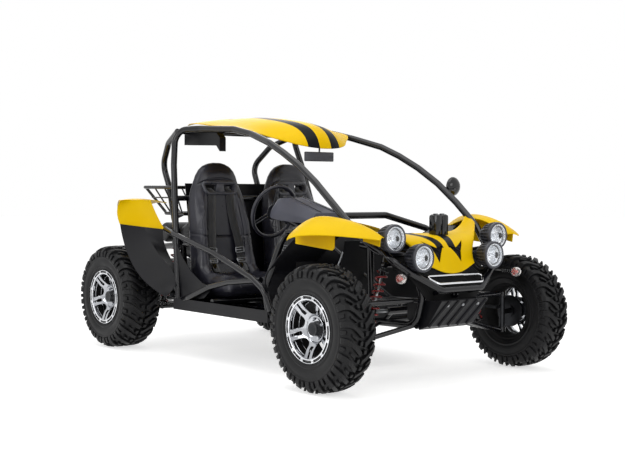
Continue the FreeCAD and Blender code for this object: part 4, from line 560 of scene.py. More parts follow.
def make_tyre(name, width, roll):
    """The claws of every wheel lead with their middles at the top, so `roll` turns them."""
    stretch = width / CARCASS_WIDTH
    way = measure(CARCASS)
    mesh = bmesh.new()
    half = [(a * stretch, r) for a, r in CARCASS]
    lathe(mesh, [(-a, r) for a, r in reversed(half[1:])] + half, CARCASS_FACETS)
    lugs = bmesh.new()
    for index in range(PITCHES):
        for side, shift in ((1, 0.0), (-1, 0.5)):
            angle = math.tau * (index + shift) / PITCHES
            for stations in BLOCKS:
                add_lug(lugs, stations, way, stretch, side, angle, roll)
    bmesh.ops.recalc_face_normals(lugs, faces=lugs.faces)
    sharp = [e for e in lugs.edges if e.calc_face_angle(0) > LUG_SHARP]
    bmesh.ops.bevel(lugs, geom=sharp, offset=LUG_EDGE, segments=1, affect="EDGES", profile=0.6)
    blocks = bpy.data.meshes.new(name + "_lugs")
    lugs.to_mesh(blocks)
    lugs.free()
    mesh.from_mesh(blocks)
    return mesh_piece(name, mesh, rubber)


# %% [markdown]
# ## Rims
# A cast wheel, machined and chrome plated: five split spokes sweep back from the ring to
# the hub. The blank is turned as one dished plate, and windows and slots are milled through
# it. Milling by a Boolean gives the clean walls that a real cutter leaves, and a bevel then
# breaks their edges.

# %% cutting helpers
SMOOTH_UNDER = math.radians(32)


def rounded(corners, radius, steps=5, share=0.45):
    """A closed outline with its corners rounded off by at most a share of each side."""
    smooth = []
    for index in range(len(corners)):
        here = Vector(corners[index])
        back = Vector(corners[index - 1]) - here
        on = Vector(corners[(index + 1) % len(corners)]) - here
        reach = min(radius, back.length * share, on.length * share)
        start, end = here + back.normalized() * reach, here + on.normalized() * reach
        for step in range(steps + 1):
            t = step / steps
            smooth.append(start * (1 - t) ** 2 + here * 2 * t * (1 - t) + end * t * t)
    return smooth


def turned(point, angle):
    """A point of the wheel's face, turned about its middle."""
    x, z = point
    return x * math.cos(angle) + z * math.sin(angle), z * math.cos(angle) - x * math.sin(angle)


def applied(piece):
    """Gives the piece the mesh that its modifiers make, and drops them."""
    bpy.context.view_layer.update()
    graph = bpy.context.evaluated_depsgraph_get()
    shaped = bpy.data.meshes.new_from_object(piece.evaluated_get(graph))
    piece.modifiers.clear()
    piece.data = shaped


def break_edges(piece, width, angle=40):
    """A small bevel on every sharp edge, and smooth shading between the edges."""
    bevel = piece.modifiers.new("edge", "BEVEL")
    bevel.width = width
    bevel.segments = 2
    bevel.limit_method = "ANGLE"
    bevel.angle_limit = math.radians(angle)
    applied(piece)
    piece.data.shade_smooth()
    piece.data.set_sharp_from_angle(angle=SMOOTH_UNDER)


def mill(piece, cutter):
    """Cuts the cutter's shapes out of a piece."""
    cut = piece.modifiers.new("mill", "BOOLEAN")
    cut.operation = "DIFFERENCE"
    cut.solver = "EXACT"
    cut.object = cutter
    applied(piece)
    bpy.data.objects.remove(cutter)


# %% spoke plate
SPOKES = 5
SPOKE_ARC = math.tau / SPOKES
DISH = (
    (-5, 145.5), (-6, 141), (-13, 121), (-19, 106), (-21, 102), (-31, 89), (-38, 78), (-44, 70), (-48.5, 65),
    (-52, 63.6), (-53.5, 62), (-53.5, 60), (-52.6, 58.6), (-54, 55), (-58, 49), (-60, 44), (-60, 36),
)
DISH_WALL = 12 * MM
DISH_FACETS = 120
CUT_BACK, CUT_FRONT = 110 * MM, 20 * MM
WINDOW = (75 * MM, 104 * MM, 142 * MM)
WINDOW_CROWN = 1.02
WINDOW_ROUND = 13 * MM
PRONG = 26 * MM
SLOT_NEAR, SLOT_FAR = 10.5 * MM, 7 * MM
SLOT_WAYS = (84 * MM, 103 * MM, 112 * MM, 148 * MM)
SLOT_ROUND = 5 * MM
SPOKE_EDGE = 1.8 * MM


def window_outline():
    """Between two spokes: straight along both prongs, crowned under the ring."""
    inner, knee, outer = WINDOW
    way = ((inner, -1), (knee, -1), (outer, -1), (outer * WINDOW_CROWN, 0), (outer, 1), (knee, 1), (inner, 1))
    return [turned((0, r), hand * (SPOKE_ARC / 2 - math.asin(PRONG / r))) for r, hand in way]


def slot_outline():
    """The slot that splits a spoke: wider at the hub than at the ring."""
    start, knee, neck, end = SLOT_WAYS
    half = [(SLOT_NEAR, start), (SLOT_NEAR, knee), (SLOT_FAR, neck), (SLOT_FAR, end)]
    return [(-x, way) for x, way in half] + half[::-1]


def spoke_plate(name, front):
    """The dished plate with five windows and five slots, its front face at `front`."""
    mesh = bmesh.new()
    lathe(mesh, in_metres(DISH, front) + in_metres(DISH[::-1], front - DISH_WALL), DISH_FACETS, closed=True)
    # The plate's chrome is painted darker than the bead ring's, as painted shade inside the deep wheel.
    plate = mesh_piece(name, mesh, shade_darkened_chrome)
    mesh = bmesh.new()
    holes = ((rounded(window_outline(), WINDOW_ROUND), 0), (rounded(slot_outline(), SLOT_ROUND), 0.5))
    for index in range(SPOKES):
        for outline, shift in holes:
            hole = [turned(p, SPOKE_ARC * (index + shift)) for p in outline]
            skin(mesh, [[(x, level, z) for x, z in hole] for level in (front - CUT_BACK, front + CUT_FRONT)])
    mill(plate, mesh_piece(name + "_cutter", mesh, shade_darkened_chrome))
    break_edges(plate, SPOKE_EDGE)
    return plate


# %% [markdown]
# The bead ring in front is two bright bands with a black channel between them, painted shade
# in the groove, bridged at twelve places by a bright block with two screws. Behind lies a
# barrel with two machined lines, black without shine as painted shade inside the wheel, and in
# the middle the hub's black cap between four nuts. All but the blocks, screws and nuts are
# turned.

# %% rim turnings
LIP_BAND = ((-12, 166), (-2, 166), (0, 165), (1, 163.6), (0.4, 161.9), (-6, 161.4), (-12, 161.4))
BEAD_BAND = (
    (-14, 149.8), (-6, 149.8), (0.6, 149.4), (1.2, 147.4), (0.8, 144), (-0.6, 142.4), (-4, 141.6),
    (-14, 141.6))
CHANNEL = (
    (-0.2, 161.6), (-5, 161.2), (-6.4, 160), (-6.6, 155.5), (-6.4, 151.2), (-5, 150.1), (-0.2, 149.7))
BRIDGE = ((-8, 149), (0.2, 149), (0.8, 150), (0.8, 161.4), (0.2, 162.2), (-8, 162.2))
BRIDGES = 12
BRIDGE_HALF, SCREW_SHIFT = 8.5 / 155.5, 3.9 / 155.5
BRIDGE_STEPS = 4
BARREL_FRONT = (
    (-14, 150), (-14, 145.6), (-20, 144.6), (-30, 142.5), (-58, 141), (-60, 139.6), (-66, 139.6), (-68, 141))
LINE_PLACES, LINE = (-25, -63), ((1.4, 143), (1.1, 138.6), (-1.1, 138.6), (-1.4, 143))
CAP = (
    (0.4, 37), (5, 36.6), (7, 35), (9, 34), (25, 33), (27.6, 31.6), (28.6, 29), (28.6, 27), (27.4, 25.8),
    (27, 22), (27, 0.4))
CAP_BACK = 60 * MM
SCREW_RADIUS, NUT_RADIUS, NUT_BACK = 155.6 * MM, 48 * MM, 54 * MM
NUTS = 4


def barrel_outline(width):
    """From the channel back to the rear flange of a tyre of this width."""
    deep = 30 - width / MM
    return BARREL_FRONT + ((deep, 143.5), (deep, 165.5), (deep + 8, 165.5), (deep + 10, 152), (-22, 151))


def stud(mesh, place, sides, foot, head, height):
    """A screw or nut that faces the wheel's outer side."""
    bmesh.ops.create_cone(
        mesh, cap_ends=True, segments=sides, radius1=foot * MM, radius2=head * MM, depth=height * MM,
        matrix=Matrix.Translation(place) @ Matrix.Rotation(-math.pi / 2, 4, "X"))


def make_rim(name, front, width):
    """Plate, bead ring, channel, barrel, lines, cap and nuts of one wheel, in that order."""
    parts = {key: bmesh.new() for key in ("ring", "channel", "barrel", "lines", "cap", "nuts")}
    for band in (LIP_BAND, BEAD_BAND):
        lathe(parts["ring"], in_metres(band, front), 144, closed=True)
    lathe(parts["channel"], in_metres(CHANNEL, front), 96)
    for index in range(BRIDGES):
        middle = math.tau * (index + 0.5) / BRIDGES
        spread = [middle + BRIDGE_HALF * (2 * step / BRIDGE_STEPS - 1) for step in range(BRIDGE_STEPS + 1)]
        block_line = in_metres(BRIDGE, front)
        skin(parts["ring"], [[about_axis(a, r, angle) for a, r in block_line] for angle in spread])
        for hand in SIDES:
            place = about_axis(front, SCREW_RADIUS, middle + hand * SCREW_SHIFT)
            stud(parts["channel"], place, 12, 2.3, 2.1, 3)
    lathe(parts["barrel"], in_metres(barrel_outline(width), front), 96, closed=True)
    for place in LINE_PLACES:
        lathe(parts["lines"], in_metres(LINE, front + place * MM), 96)
    lathe(parts["cap"], in_metres(CAP, front - CAP_BACK), 64)
    for index in range(NUTS):
        place = about_axis(front - NUT_BACK, NUT_RADIUS, math.tau * (index + 0.3) / NUTS)
        stud(parts["nuts"], place, 6, 8.6, 7.6, 13)
    # Painted shade: the channel is gloss black and the barrel the shineless black, for the groove and the
    # inside of the wheel.
    finishes = (bright_chrome, gloss_black, painted_shade_black, shade_darkened_chrome, gloss_black, shade_darkened_chrome)
    return [spoke_plate(name + "_spokes", front)] + [
        mesh_piece(f"{name}_{key}", mesh, material) for (key, mesh), material in zip(parts.items(), finishes)]


# %% [markdown]
# Each wheel is made about its own axle, then laid at its joint. A right-hand wheel is
# turned round so that its face looks outwards too, and its claws are laid the other way.

# %% put the wheels on
RIM_INSET = 9 * MM


def move_piece(piece, matrix):
    piece.data.transform(matrix)
    piece.data.update()


joint_at = {joint["name"]: Vector(joint["pos_m"]) for joint in frame["joints"]}
for end, hand in WHEELS:
    key = f"{end}_{hand}"
    box_low, box_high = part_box(f"tyre_{key}")
    width = box_high[1] - box_low[1]
    turn = Matrix.Translation(joint_at[f"wheel_{key}_spin"])
    if hand == "right":
        turn = turn @ Matrix.Rotation(math.pi, 4, "Z")
    tyre = make_tyre(f"tyre_{key}_visual", width, 1 if hand == "right" else -1)
    wheel = make_rim(f"rim_{key}_visual", width / 2 - RIM_INSET, width)
    for piece in [tyre] + wheel:
        move_piece(piece, turn)
        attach(piece, f"wheel_{key}")
    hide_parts(f"tyre_{key}")
    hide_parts(f"rim_{key}")
    print(key, "width", round(width, 3), "tyre faces", len(tyre.data.polygons))

# %% [markdown]
# ## Pieces on the chassis
# Most of what follows is fixed to the chassis. One function gives such a piece its finish,
# breaks its edges where a mould or a file would, and says how many faces it has.

# %% chassis pieces
def fitted(name, mesh, material, edge=0.0, angle=40):
    """A piece that rides on the chassis, its sharp edges broken where `edge` is given."""
    piece = mesh_piece(name, mesh, material)
    if edge:
        break_edges(piece, edge, angle)
    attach(piece, "chassis")
    print(name, "faces", len(piece.data.polygons))
    return piece


# %% [markdown]
# ## Headlamps
# A spotlight is a finned housing, a bright bowl pressed into facets, a shielded bulb and a
# slightly domed glass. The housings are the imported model's, which leaves a hollow in front.
# The bowl is turned in few steps and shaded flat, so that every facet shows another part of
# the studio, as the pressed ones do. A ring of thin cooling ribs runs down each housing.

# %% headlamps
LAMPS = ((1.184, 0.378, 0.749), (1.265, 0.259, 0.653))
BOWL = (
    (0.7, 60.5), (0.6, 53.5), (-8.6, 51.0), (-12, 47.0), (-16, 44), (-21, 41), (-26, 38), (-32, 33.8),
    (-38, 28.8), (-44, 22.4), (-48, 15), (-49.5, 9),
)
BULB = (
    (-50, 11), (-46, 10.5), (-46, 7), (-32, 7), (-30, 8.6), (-22, 8.6), (-19.5, 7), (-18.6, 3.5),
    (-18.4, 0.3))
GLASS = (
    (1.4, 60.2), (3.0, 60.0), (4.6, 57.0), (6.6, 45), (7.8, 28), (8.4, 9), (8.4, 0.3),
    (5.4, 0.3), (4.8, 28), (3.6, 45), (2.0, 56.6), (1.2, 57.6),
)
BEZEL = (
    (-9, 69.2), (-8, 71.4), (-1, 71.6), (3.4, 70.2), (5.0, 67.4), (4.6, 63.4), (3.2, 60.4), (0.9, 60.0),
    (0.6, 62), (-6, 66),
)
RIB_COUNT, RIB_HALF = 24, 0.035
RIB = ((-80, 46), (-78, 54.5), (-64, 61.5), (-50, 66.5), (-24, 71.6), (-8.5, 71.6), (-8.5, 64))


def mirrored(point, hand):
    """A place on the left, or its twin on the right where `hand` is -1."""
    return Vector((point[0], hand * point[1], point[2]))


def facing_forward(centre):
    """From the turning helper's +Y to the buggy's nose."""
    return Matrix.Translation(centre) @ Matrix.Rotation(-math.pi / 2, 4, "Z")


LAMP_SPACES = [facing_forward(mirrored(centre, hand)) for centre in LAMPS for hand in SIDES]


def lamp_part(name, outline, count, material, smooth=True, closed=False):
    mesh = bmesh.new()
    for space in LAMP_SPACES:
        lathe(mesh, in_metres(outline), count, closed, smooth, space)
    return fitted(name, mesh, material)


lamp_part("headlamp_bowls", BOWL, 22, reflector, smooth=False)
lamp_part("headlamp_bulbs", BULB, 24, bright_chrome)
glasses = lamp_part("headlamp_glasses", GLASS, 48, lamp_glass, closed=True)
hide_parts("headlamp_lenses")
lamp_part("headlamp_bezels", BEZEL, 64, slot_grey, closed=True)
ribs = bmesh.new()
for space in LAMP_SPACES:
    for index in range(RIB_COUNT):
        faces = [math.tau * index / RIB_COUNT + shift for shift in (-RIB_HALF, RIB_HALF)]
        skin(ribs, [[space @ about_axis(a, r, angle) for a, r in in_metres(RIB)] for angle in faces])
fitted("headlamp_ribs", ribs, slot_grey)

# %% [markdown]
# ## Bars bent along a line
# A round bar is a circle carried along a line of points. If each circle were turned by
# itself, the bar would twist, so each one takes over the direction of the one before it.

# %% bar helpers
def square_to(along):
    """Two directions at right angles to a line and to each other."""
    normal = along.orthogonal().normalized()
    return normal, along.cross(normal)


def on_circle(normal, other, angle):
    return normal * math.cos(angle) + other * math.sin(angle)


def sweep(mesh, points, radius, sides=10, closed=False, smooth=True):
    """A round bar along a line of points, carried without twist."""
    points = [Vector(p) for p in points]
    count = len(points)
    normal = None
    rings = []
    for index, point in enumerate(points):
        back = points[index - 1] if closed or index else point
        on = points[(index + 1) % count] if closed or index < count - 1 else point
        along = (on - back).normalized()
        if normal is None:
            normal = square_to(along)[0]
        normal = (normal - along * normal.dot(along)).normalized()
        other = along.cross(normal)
        rings.append([point + on_circle(normal, other, math.tau * s / sides) * radius for s in range(sides)])
    skin(mesh, rings, ends=not closed, looped=closed, smooth=smooth)


def turned_bar(mesh, low, high, outline, count=28):
    """Turns (way, radius) points in millimetres about the line from low to high."""
    along = (high - low).normalized()
    outs = [on_circle(*square_to(along), math.tau * step / count) for step in range(count)]
    rings = [[low + along * way + out * radius for way, radius in in_metres(outline)] for out in outs]
    skin(mesh, rings, around=False, ends=False, looped=True, smooth=True)


# %% [markdown]
# ## Coil springs and dampers
# A shock absorber is a steel rod in a black tube with an eye at each end, and a red coil
# pressed between two seats. The coil is a helix with a round bar swept along it, whose last
# turn at each end lies closer, as a ground spring's does.

# %% shock absorbers
SHOCKS = (
    # lower eye, upper eye
    ((1.0183, 0.4138, 0.2512), (1.025, 0.300, 0.610)),
    ((-0.9553, 0.3775, 0.2395), (-0.880, 0.300, 0.640)),
)
EYE_RADIUS, EYE_WAYS = 15 * MM, (-14 * MM, -7 * MM, 7 * MM, 14 * MM)
TUBE_SHARE = 0.45
COIL_RADIUS, COIL_BAR = 26.5 * MM, 4.6 * MM
COIL_TURNS, COIL_STEPS = 8.5, 18
COIL_FOOT, COIL_ENDS = 41 * MM, 79 * MM
COIL_CLOSING = 0.028


def coil_line(foot, head):
    """The helix round the damper, drawn closer at both ends."""
    along = (head - foot).normalized()
    length = (head - foot).length - COIL_ENDS
    steps = int(COIL_TURNS * COIL_STEPS)
    line = []
    for step in range(steps + 1):
        share = step / steps
        eased = share + COIL_CLOSING * math.sin(math.tau * share)
        out = on_circle(*square_to(along), math.tau * COIL_TURNS * share)
        line.append(foot + along * (COIL_FOOT + length * eased) + out * COIL_RADIUS)
    return line


coils, dampers, rods = bmesh.new(), bmesh.new(), bmesh.new()
for low, high in SHOCKS:
    for hand in SIDES:
        foot, head = mirrored(low, hand), mirrored(high, hand)
        span = (head - foot).length / MM
        tube = span * TUBE_SHARE
        turned_bar(rods, foot, head, ((16, 0.4), (16, 7), (span - 16, 7), (span - 16, 0.4)))
        turned_bar(dampers, foot, head, (
            (28, 8), (29, 24), (31, 30), (36, 30), (37, 22), (44, 17.5), (46, 17), (tube, 17),
            (tube + 3, 15), (tube + 3, 7.2)))
        turned_bar(dampers, foot, head, (
            (span - 60, 7.2), (span - 58, 14), (span - 40, 16), (span - 38, 30), (span - 33, 30),
            (span - 31, 22), (span - 24, 12), (span - 22, 7.2)))
        for eye in (foot, head):
            sweep(dampers, [eye + AHEAD * way for way in EYE_WAYS], EYE_RADIUS, 20)
        sweep(coils, coil_line(foot, head), COIL_BAR)
coil_piece = fitted("shock_coils", coils, red_enamel)
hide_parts("shock_absorbers")
fitted("shock_dampers", dampers, powder_coat)
fitted("shock_rods", rods, steel)

# %% [markdown]
# ## Seats
# A bucket seat is foam over a shell in sewn vinyl. Its form is lofted through stations from
# the cushion's lip to the top of the back: each has the pad's face, its back, a half width
# and how far the side bolsters stand up. The loft is remeshed evenly and blown up as cloth
# under a little pressure, which rounds it the way foam fills its cover. One seat is made
# and used twice.

# %% seat form
SEAT_MIDDLE = 0.275
SEAT_STATIONS = (
    # face (x, z), back (x, z), half width, bolster's lift
    ((-0.060, 0.432), (-0.062, 0.378), 0.205, 0.000), ((-0.072, 0.456), (-0.085, 0.366), 0.216, 0.004),
    ((-0.105, 0.470), (-0.120, 0.360), 0.223, 0.018), ((-0.180, 0.456), (-0.190, 0.354), 0.226, 0.040),
    ((-0.260, 0.446), (-0.290, 0.348), 0.228, 0.050), ((-0.330, 0.446), (-0.380, 0.344), 0.228, 0.064),
    ((-0.385, 0.478), (-0.452, 0.372), 0.228, 0.078), ((-0.412, 0.545), (-0.483, 0.460), 0.225, 0.080),
    ((-0.424, 0.620), (-0.500, 0.560), 0.218, 0.070), ((-0.434, 0.700), (-0.512, 0.670), 0.214, 0.060),
    ((-0.446, 0.790), (-0.524, 0.780), 0.213, 0.054), ((-0.456, 0.870), (-0.535, 0.870), 0.209, 0.044),
    ((-0.463, 0.930), (-0.542, 0.935), 0.200, 0.030), ((-0.468, 0.975), (-0.546, 0.985), 0.186, 0.014),
    ((-0.472, 1.020), (-0.546, 1.030), 0.168, 0.002), ((-0.473, 1.065), (-0.541, 1.075), 0.150, 0.000),
    ((-0.474, 1.098), (-0.535, 1.110), 0.128, 0.000), ((-0.479, 1.126), (-0.530, 1.134), 0.098, 0.000),
    ((-0.487, 1.144), (-0.522, 1.147), 0.062, 0.000), ((-0.497, 1.152), (-0.513, 1.153), 0.026, 0.000),
)
SEAT_STEPS = 26
BACK_SHARE, FACE_SHARE = 0.45, 0.55
CREST_START, CREST_RUN = 0.46, 0.26
CREST_END, CREST_END_RUN, CREST_DROP = 0.84, 0.16, 0.3


def ease(value):
    value = max(0.0, min(1.0, value))
    return value * value * (3 - 2 * value)


def seat_section(face, back, half, lift):
    """One station: a rounded bar across the seat whose face swells at both bolsters."""
    base = Vector((back[0], 0, back[1]))
    up = Vector((face[0], 0, face[1])) - base
    depth = up.length
    up.normalize()
    front, rear = [], []
    for step in range(SEAT_STEPS + 1):
        u = 2 * step / SEAT_STEPS - 1
        edge = (1 - abs(u) ** 6) ** 0.42 if abs(u) < 1 else 0.0
        fall = 1 - CREST_DROP * ease((abs(u) - CREST_END) / CREST_END_RUN)
        crest = ease((abs(u) - CREST_START) / CREST_RUN) * fall
        spot = base + ACROSS * (u * half)
        front.append(spot + up * (BACK_SHARE * depth + (FACE_SHARE * depth + lift * crest) * edge))
        if 0 < step < SEAT_STEPS:
            rear.append(spot + up * (BACK_SHARE * depth * (1 - edge)))
    return front + rear[::-1]


seat_mesh = bmesh.new()
skin(seat_mesh, [seat_section(*station) for station in SEAT_STATIONS])
seat_right = mesh_piece("seat_right", seat_mesh, vinyl)
print("seat stations", len(SEAT_STATIONS))

# %% [markdown]
# The air that rounds the pad is let in for twenty frames, and no point may move further
# than the cap, so the seat stays close to its solid.

# %% blow up the seat
VOXEL = 8.5 * MM
SWELL_CAP = 6 * MM
PRESSURE = 4.0
SWELL_FRAMES = 20


def blow_up(piece):
    """Even mesh, a little air pressure, and a cap on how far each point went."""
    even = piece.modifiers.new("even", "REMESH")
    even.mode = "VOXEL"
    even.voxel_size = VOXEL
    applied(piece)
    rest = [v.co.copy() for v in piece.data.vertices]
    scene = bpy.context.scene
    cloth = piece.modifiers.new("air", "CLOTH")
    cloth.settings.use_pressure = True
    cloth.settings.uniform_pressure_force = PRESSURE
    cloth.settings.effector_weights.gravity = 0
    cloth.point_cache.frame_start = 1
    cloth.point_cache.frame_end = SWELL_FRAMES
    for frame_number in range(1, SWELL_FRAMES + 1):
        scene.frame_set(frame_number)
    applied(piece)
    scene.frame_set(1)
    far = 0.0
    for vertex, start in zip(piece.data.vertices, rest):
        step = vertex.co - start
        far = max(far, step.length)
        if step.length > SWELL_CAP:
            vertex.co = start + step.normalized() * SWELL_CAP
    print("cloth moved", round(far / MM, 1), "mm before the cap")
    finer = piece.modifiers.new("finer", "SUBSURF")
    finer.levels = 1
    applied(piece)


blow_up(seat_right)

# %% [markdown]
# ## Seams
# The cover is sewn from panels: a middle one between two bolsters, parted across at three
# heights on the back and once on the cushion. The seams are pressed in after the remesh,
# which would wipe them out. Each is a rounded groove along a line on the seat's face.

# %% seams
SEAM_DEPTH = 5.0 * MM
SEAM_HALF = 4.2 * MM
FAR_FROM_SEAMS = 1.0
BACK_FOOT, BACK_PANEL_TOP, BOLSTER_TOP = 0.50, 0.955, 0.93
BACK_PANEL = 0.112
FLARE, FLARE_TOP, FLARE_RUN = 0.016, 0.97, 0.25
WAIST, WAIST_TOP, WAIST_RUN = 0.010, 0.62, 0.10
# A point is on the face where its normal leans at least this far forwards or upwards.
FACING = 0.1
MIDDLE_SEAM, LOW_SEAM = 0.700, 0.545
HEAD_SEAM, HEAD_SEAM_BOW, HEAD_SEAM_HALF = 1.050, 1.6, 0.15
BOLSTER_SEAM_SLOPE = 0.25
CUSHION_TOP, CUSHION_BACK = 0.53, -0.40
CUSHION_PANEL, CUSHION_SEAM = 0.125, -0.20


def back_seams(y, z):
    """How far a point of the back lies from each sewn line near it."""
    panel = BACK_PANEL + FLARE * ease((FLARE_TOP - z) / FLARE_RUN) - WAIST * ease((WAIST_TOP - z) / WAIST_RUN)
    lines = [abs(z - HEAD_SEAM + HEAD_SEAM_BOW * y * y) if y < HEAD_SEAM_HALF else FAR_FROM_SEAMS]
    if z < BACK_PANEL_TOP:
        lines.append(abs(y - panel))
    if y < panel:
        lines += [abs(z - MIDDLE_SEAM), abs(z - LOW_SEAM)]
    if y > panel and z < BOLSTER_TOP:
        lines.append(abs(z - MIDDLE_SEAM - BOLSTER_SEAM_SLOPE * (y - panel)))
    return lines


def seam_distance(point, normal):
    """How far a point of the seat's face lies from the nearest sewn line."""
    y = abs(point.y)
    if point.z > BACK_FOOT and normal.x > FACING:
        return min(back_seams(y, point.z))
    if normal.z > FACING and point.z < CUSHION_TOP and point.x > CUSHION_BACK:
        across = abs(point.x - CUSHION_SEAM) if y < CUSHION_PANEL else FAR_FROM_SEAMS
        return min(abs(y - CUSHION_PANEL), across)
    return FAR_FROM_SEAMS


data = seat_right.data
for vertex, normal in zip(data.vertices, [v.normal.copy() for v in data.vertices]):
    gap = seam_distance(vertex.co, normal)
    if gap < 3 * SEAM_HALF:
        vertex.co -= normal * SEAM_DEPTH * math.exp(-(gap / SEAM_HALF) ** 2)
print("seams", SEAM_DEPTH, "m deep")

# %% [markdown]
# ## Harness slot
# A slot for the belts is cut through the back, and a moulded frame with a bridge in the
# middle lines it, so that each belt has its own opening. The frame lies on the pad, whose
# depth is read by rays from the seat's own surface.

# %% slot and both seats
SLOT = ((-0.108, 1.012), (0.108, 1.012), (0.094, 0.974), (-0.094, 0.974))
SLOT_CORNER = 0.014
SLOT_CUT = (-0.30, -0.70)


def stood_up(outline, x, shift=0.0):
    """An outline of (y, z) points across the buggy at a station x."""
    return [(x, shift + p[0], p[1]) for p in outline]


seat_surface = BVHTree.FromPolygons(
    [v.co for v in seat_right.data.vertices], [tuple(f.vertices) for f in seat_right.data.polygons])
cutter = bmesh.new()
skin(cutter, [stood_up(rounded(SLOT, SLOT_CORNER), x) for x in SLOT_CUT])
mill(seat_right, mesh_piece("slot_cutter", cutter, vinyl))
seat_right.data.shade_smooth()
seat_left = put_in_scene("seat_left", seat_right.data.copy())
for piece, hand in ((seat_right, -1), (seat_left, 1)):
    move_piece(piece, Matrix.Translation(ACROSS * (hand * SEAT_MIDDLE)))
    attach(piece, "chassis")
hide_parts("seats")
print("seat faces", len(seat_right.data.polygons))

# %% slot frames
FRAME_LINE = ((-0.124, 1.026), (0.124, 1.026), (0.108, 0.960), (-0.108, 0.960))
FRAME_CORNER = 0.026
FRAME_BAR = 10.5 * MM
FRAME_RAISE = 2 * MM
BRIDGE_OUTLINE = ((-0.024, 1.020), (0.024, 1.020), (0.032, 0.968), (-0.032, 0.968))
BRIDGE_CORNER = 0.006
BRIDGE_X = (-0.458, -0.490)
RAYS_FROM, PAD_MISSED = 0.3, -0.47


def face_x(y, z):
    """Where the pad's face lies at a height, seen from the front."""
    hit = seat_surface.ray_cast(Vector((RAYS_FROM, y, z)), -AHEAD)[0]
    return hit.x if hit else PAD_MISSED


frames = bmesh.new()
for hand in SIDES:
    shift = hand * SEAT_MIDDLE
    outline = rounded(FRAME_LINE, FRAME_CORNER, 7)
    line = [(face_x(*p) + FRAME_RAISE, shift + p[0], p[1]) for p in outline]
    sweep(frames, line, FRAME_BAR, 12, closed=True)
    skin(frames, [stood_up(rounded(BRIDGE_OUTLINE, BRIDGE_CORNER, 3), x, shift) for x in BRIDGE_X])
fitted("harness_slot_frames", frames, slot_grey, 2 * MM)

# %% [markdown]
# ## Harness
# Woven webbing comes over the bar behind each seat, through the slot and down the pad. Each
# belt is a flat strip laid on the seat: a fan of rays from in front of the pad gives its
# line, so that it bends over the foam and bridges the seams. A cloth simulation would
# wrinkle it, and a tight belt has no wrinkles.

# %% belts
BELT_HALF, BELT_THICK = 27 * MM, 2.4 * MM
BELT_CROWN = 1.1
BEHIND = ((-0.566, 0.946), (-0.561, 0.968), (-0.550, 0.983), (-0.530, 0.989), (-0.500, 0.990))
BELT_TOP, BELT_FOOT, BELT_HEAD = 0.066, 0.104, 0.985
FAN_FROM = Vector((-0.10, 0, 0.78))
FAN_FIRST, FAN_LAST, FAN_STEPS = math.radians(152), math.radians(226), 38
FAN_EDGE, FAN_MISSED = 0.9, 0.4


def belt_line(side):
    """Places along a belt's middle: behind the seat, through the slot and down the pad."""
    reach = []
    for step in range(FAN_STEPS + 1):
        share = step / FAN_STEPS
        angle = FAN_FIRST + (FAN_LAST - FAN_FIRST) * share
        start = FAN_FROM + ACROSS * (side * (BELT_TOP + (BELT_FOOT - BELT_TOP) * ease(share * 1.1)))
        way = Vector((math.cos(angle), 0, math.sin(angle)))
        edges = [start + ACROSS * (shift * BELT_HALF) for shift in (-FAN_EDGE, 0, FAN_EDGE)]
        reach.append((min(seat_surface.ray_cast(p, way)[3] or FAN_MISSED for p in edges), start, way))
    points = [Vector((x, side * BELT_TOP, z)) for x, z in BEHIND]
    for index, (_, start, way) in enumerate(reach):
        around = [near for near, _, _ in reach[max(0, index - 2):index + 3]]
        point = start + way * (sum(around) / len(around) - BELT_THICK)
        if point.z < BELT_HEAD:
            points.append(point)
    return points


def lay_strip(mesh, points, middle):
    """A flat strip: its face turns with the line, its width stays level."""
    rings = []
    for index, point in enumerate(points):
        along = (points[min(len(points) - 1, index + 1)] - points[max(0, index - 1)]).normalized()
        out = ACROSS.cross(along).normalized()
        if out.x < 0 and abs(out.x) > abs(out.z) or out.z < -0.7:
            out = -out
        half = along.cross(out).normalized() * BELT_HALF
        centre = point + ACROSS * middle
        rings.append([
            centre - half, centre - half + out * BELT_THICK, centre + out * BELT_THICK * BELT_CROWN,
            centre + half + out * BELT_THICK, centre + half])
    skin(mesh, rings, smooth=True)


belts = bmesh.new()
for hand in SIDES:
    for side in SIDES:
        lay_strip(belts, belt_line(side), hand * SEAT_MIDDLE)
belt_piece = fitted("harness_webbing", belts, webbing)
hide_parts("harness_belts")

# %% [markdown]
# Each belt is shortened by two slides of bent wire and ends in a buckle at the hip. Their
# places are shares of the belt's own line, so they stay on it.

# %% slides and buckles
SLIDES = ((0.80, 15 * MM), (0.93, 11 * MM))
SLIDE_HALF, SLIDE_CORNER, SLIDE_BAR, SLIDE_RAISE = 31 * MM, 6 * MM, 3.2 * MM, 3.5 * MM
BUCKLE = (44 * MM, 56 * MM, 16 * MM)
BUCKLE_RAISE = 6 * MM


def off_pad(along):
    """Square to a belt's line, away from the pad, and across the belt."""
    out = ACROSS.cross(along).normalized()
    out = out if out.x + out.z > 0 else -out
    return out, along.cross(out).normalized()


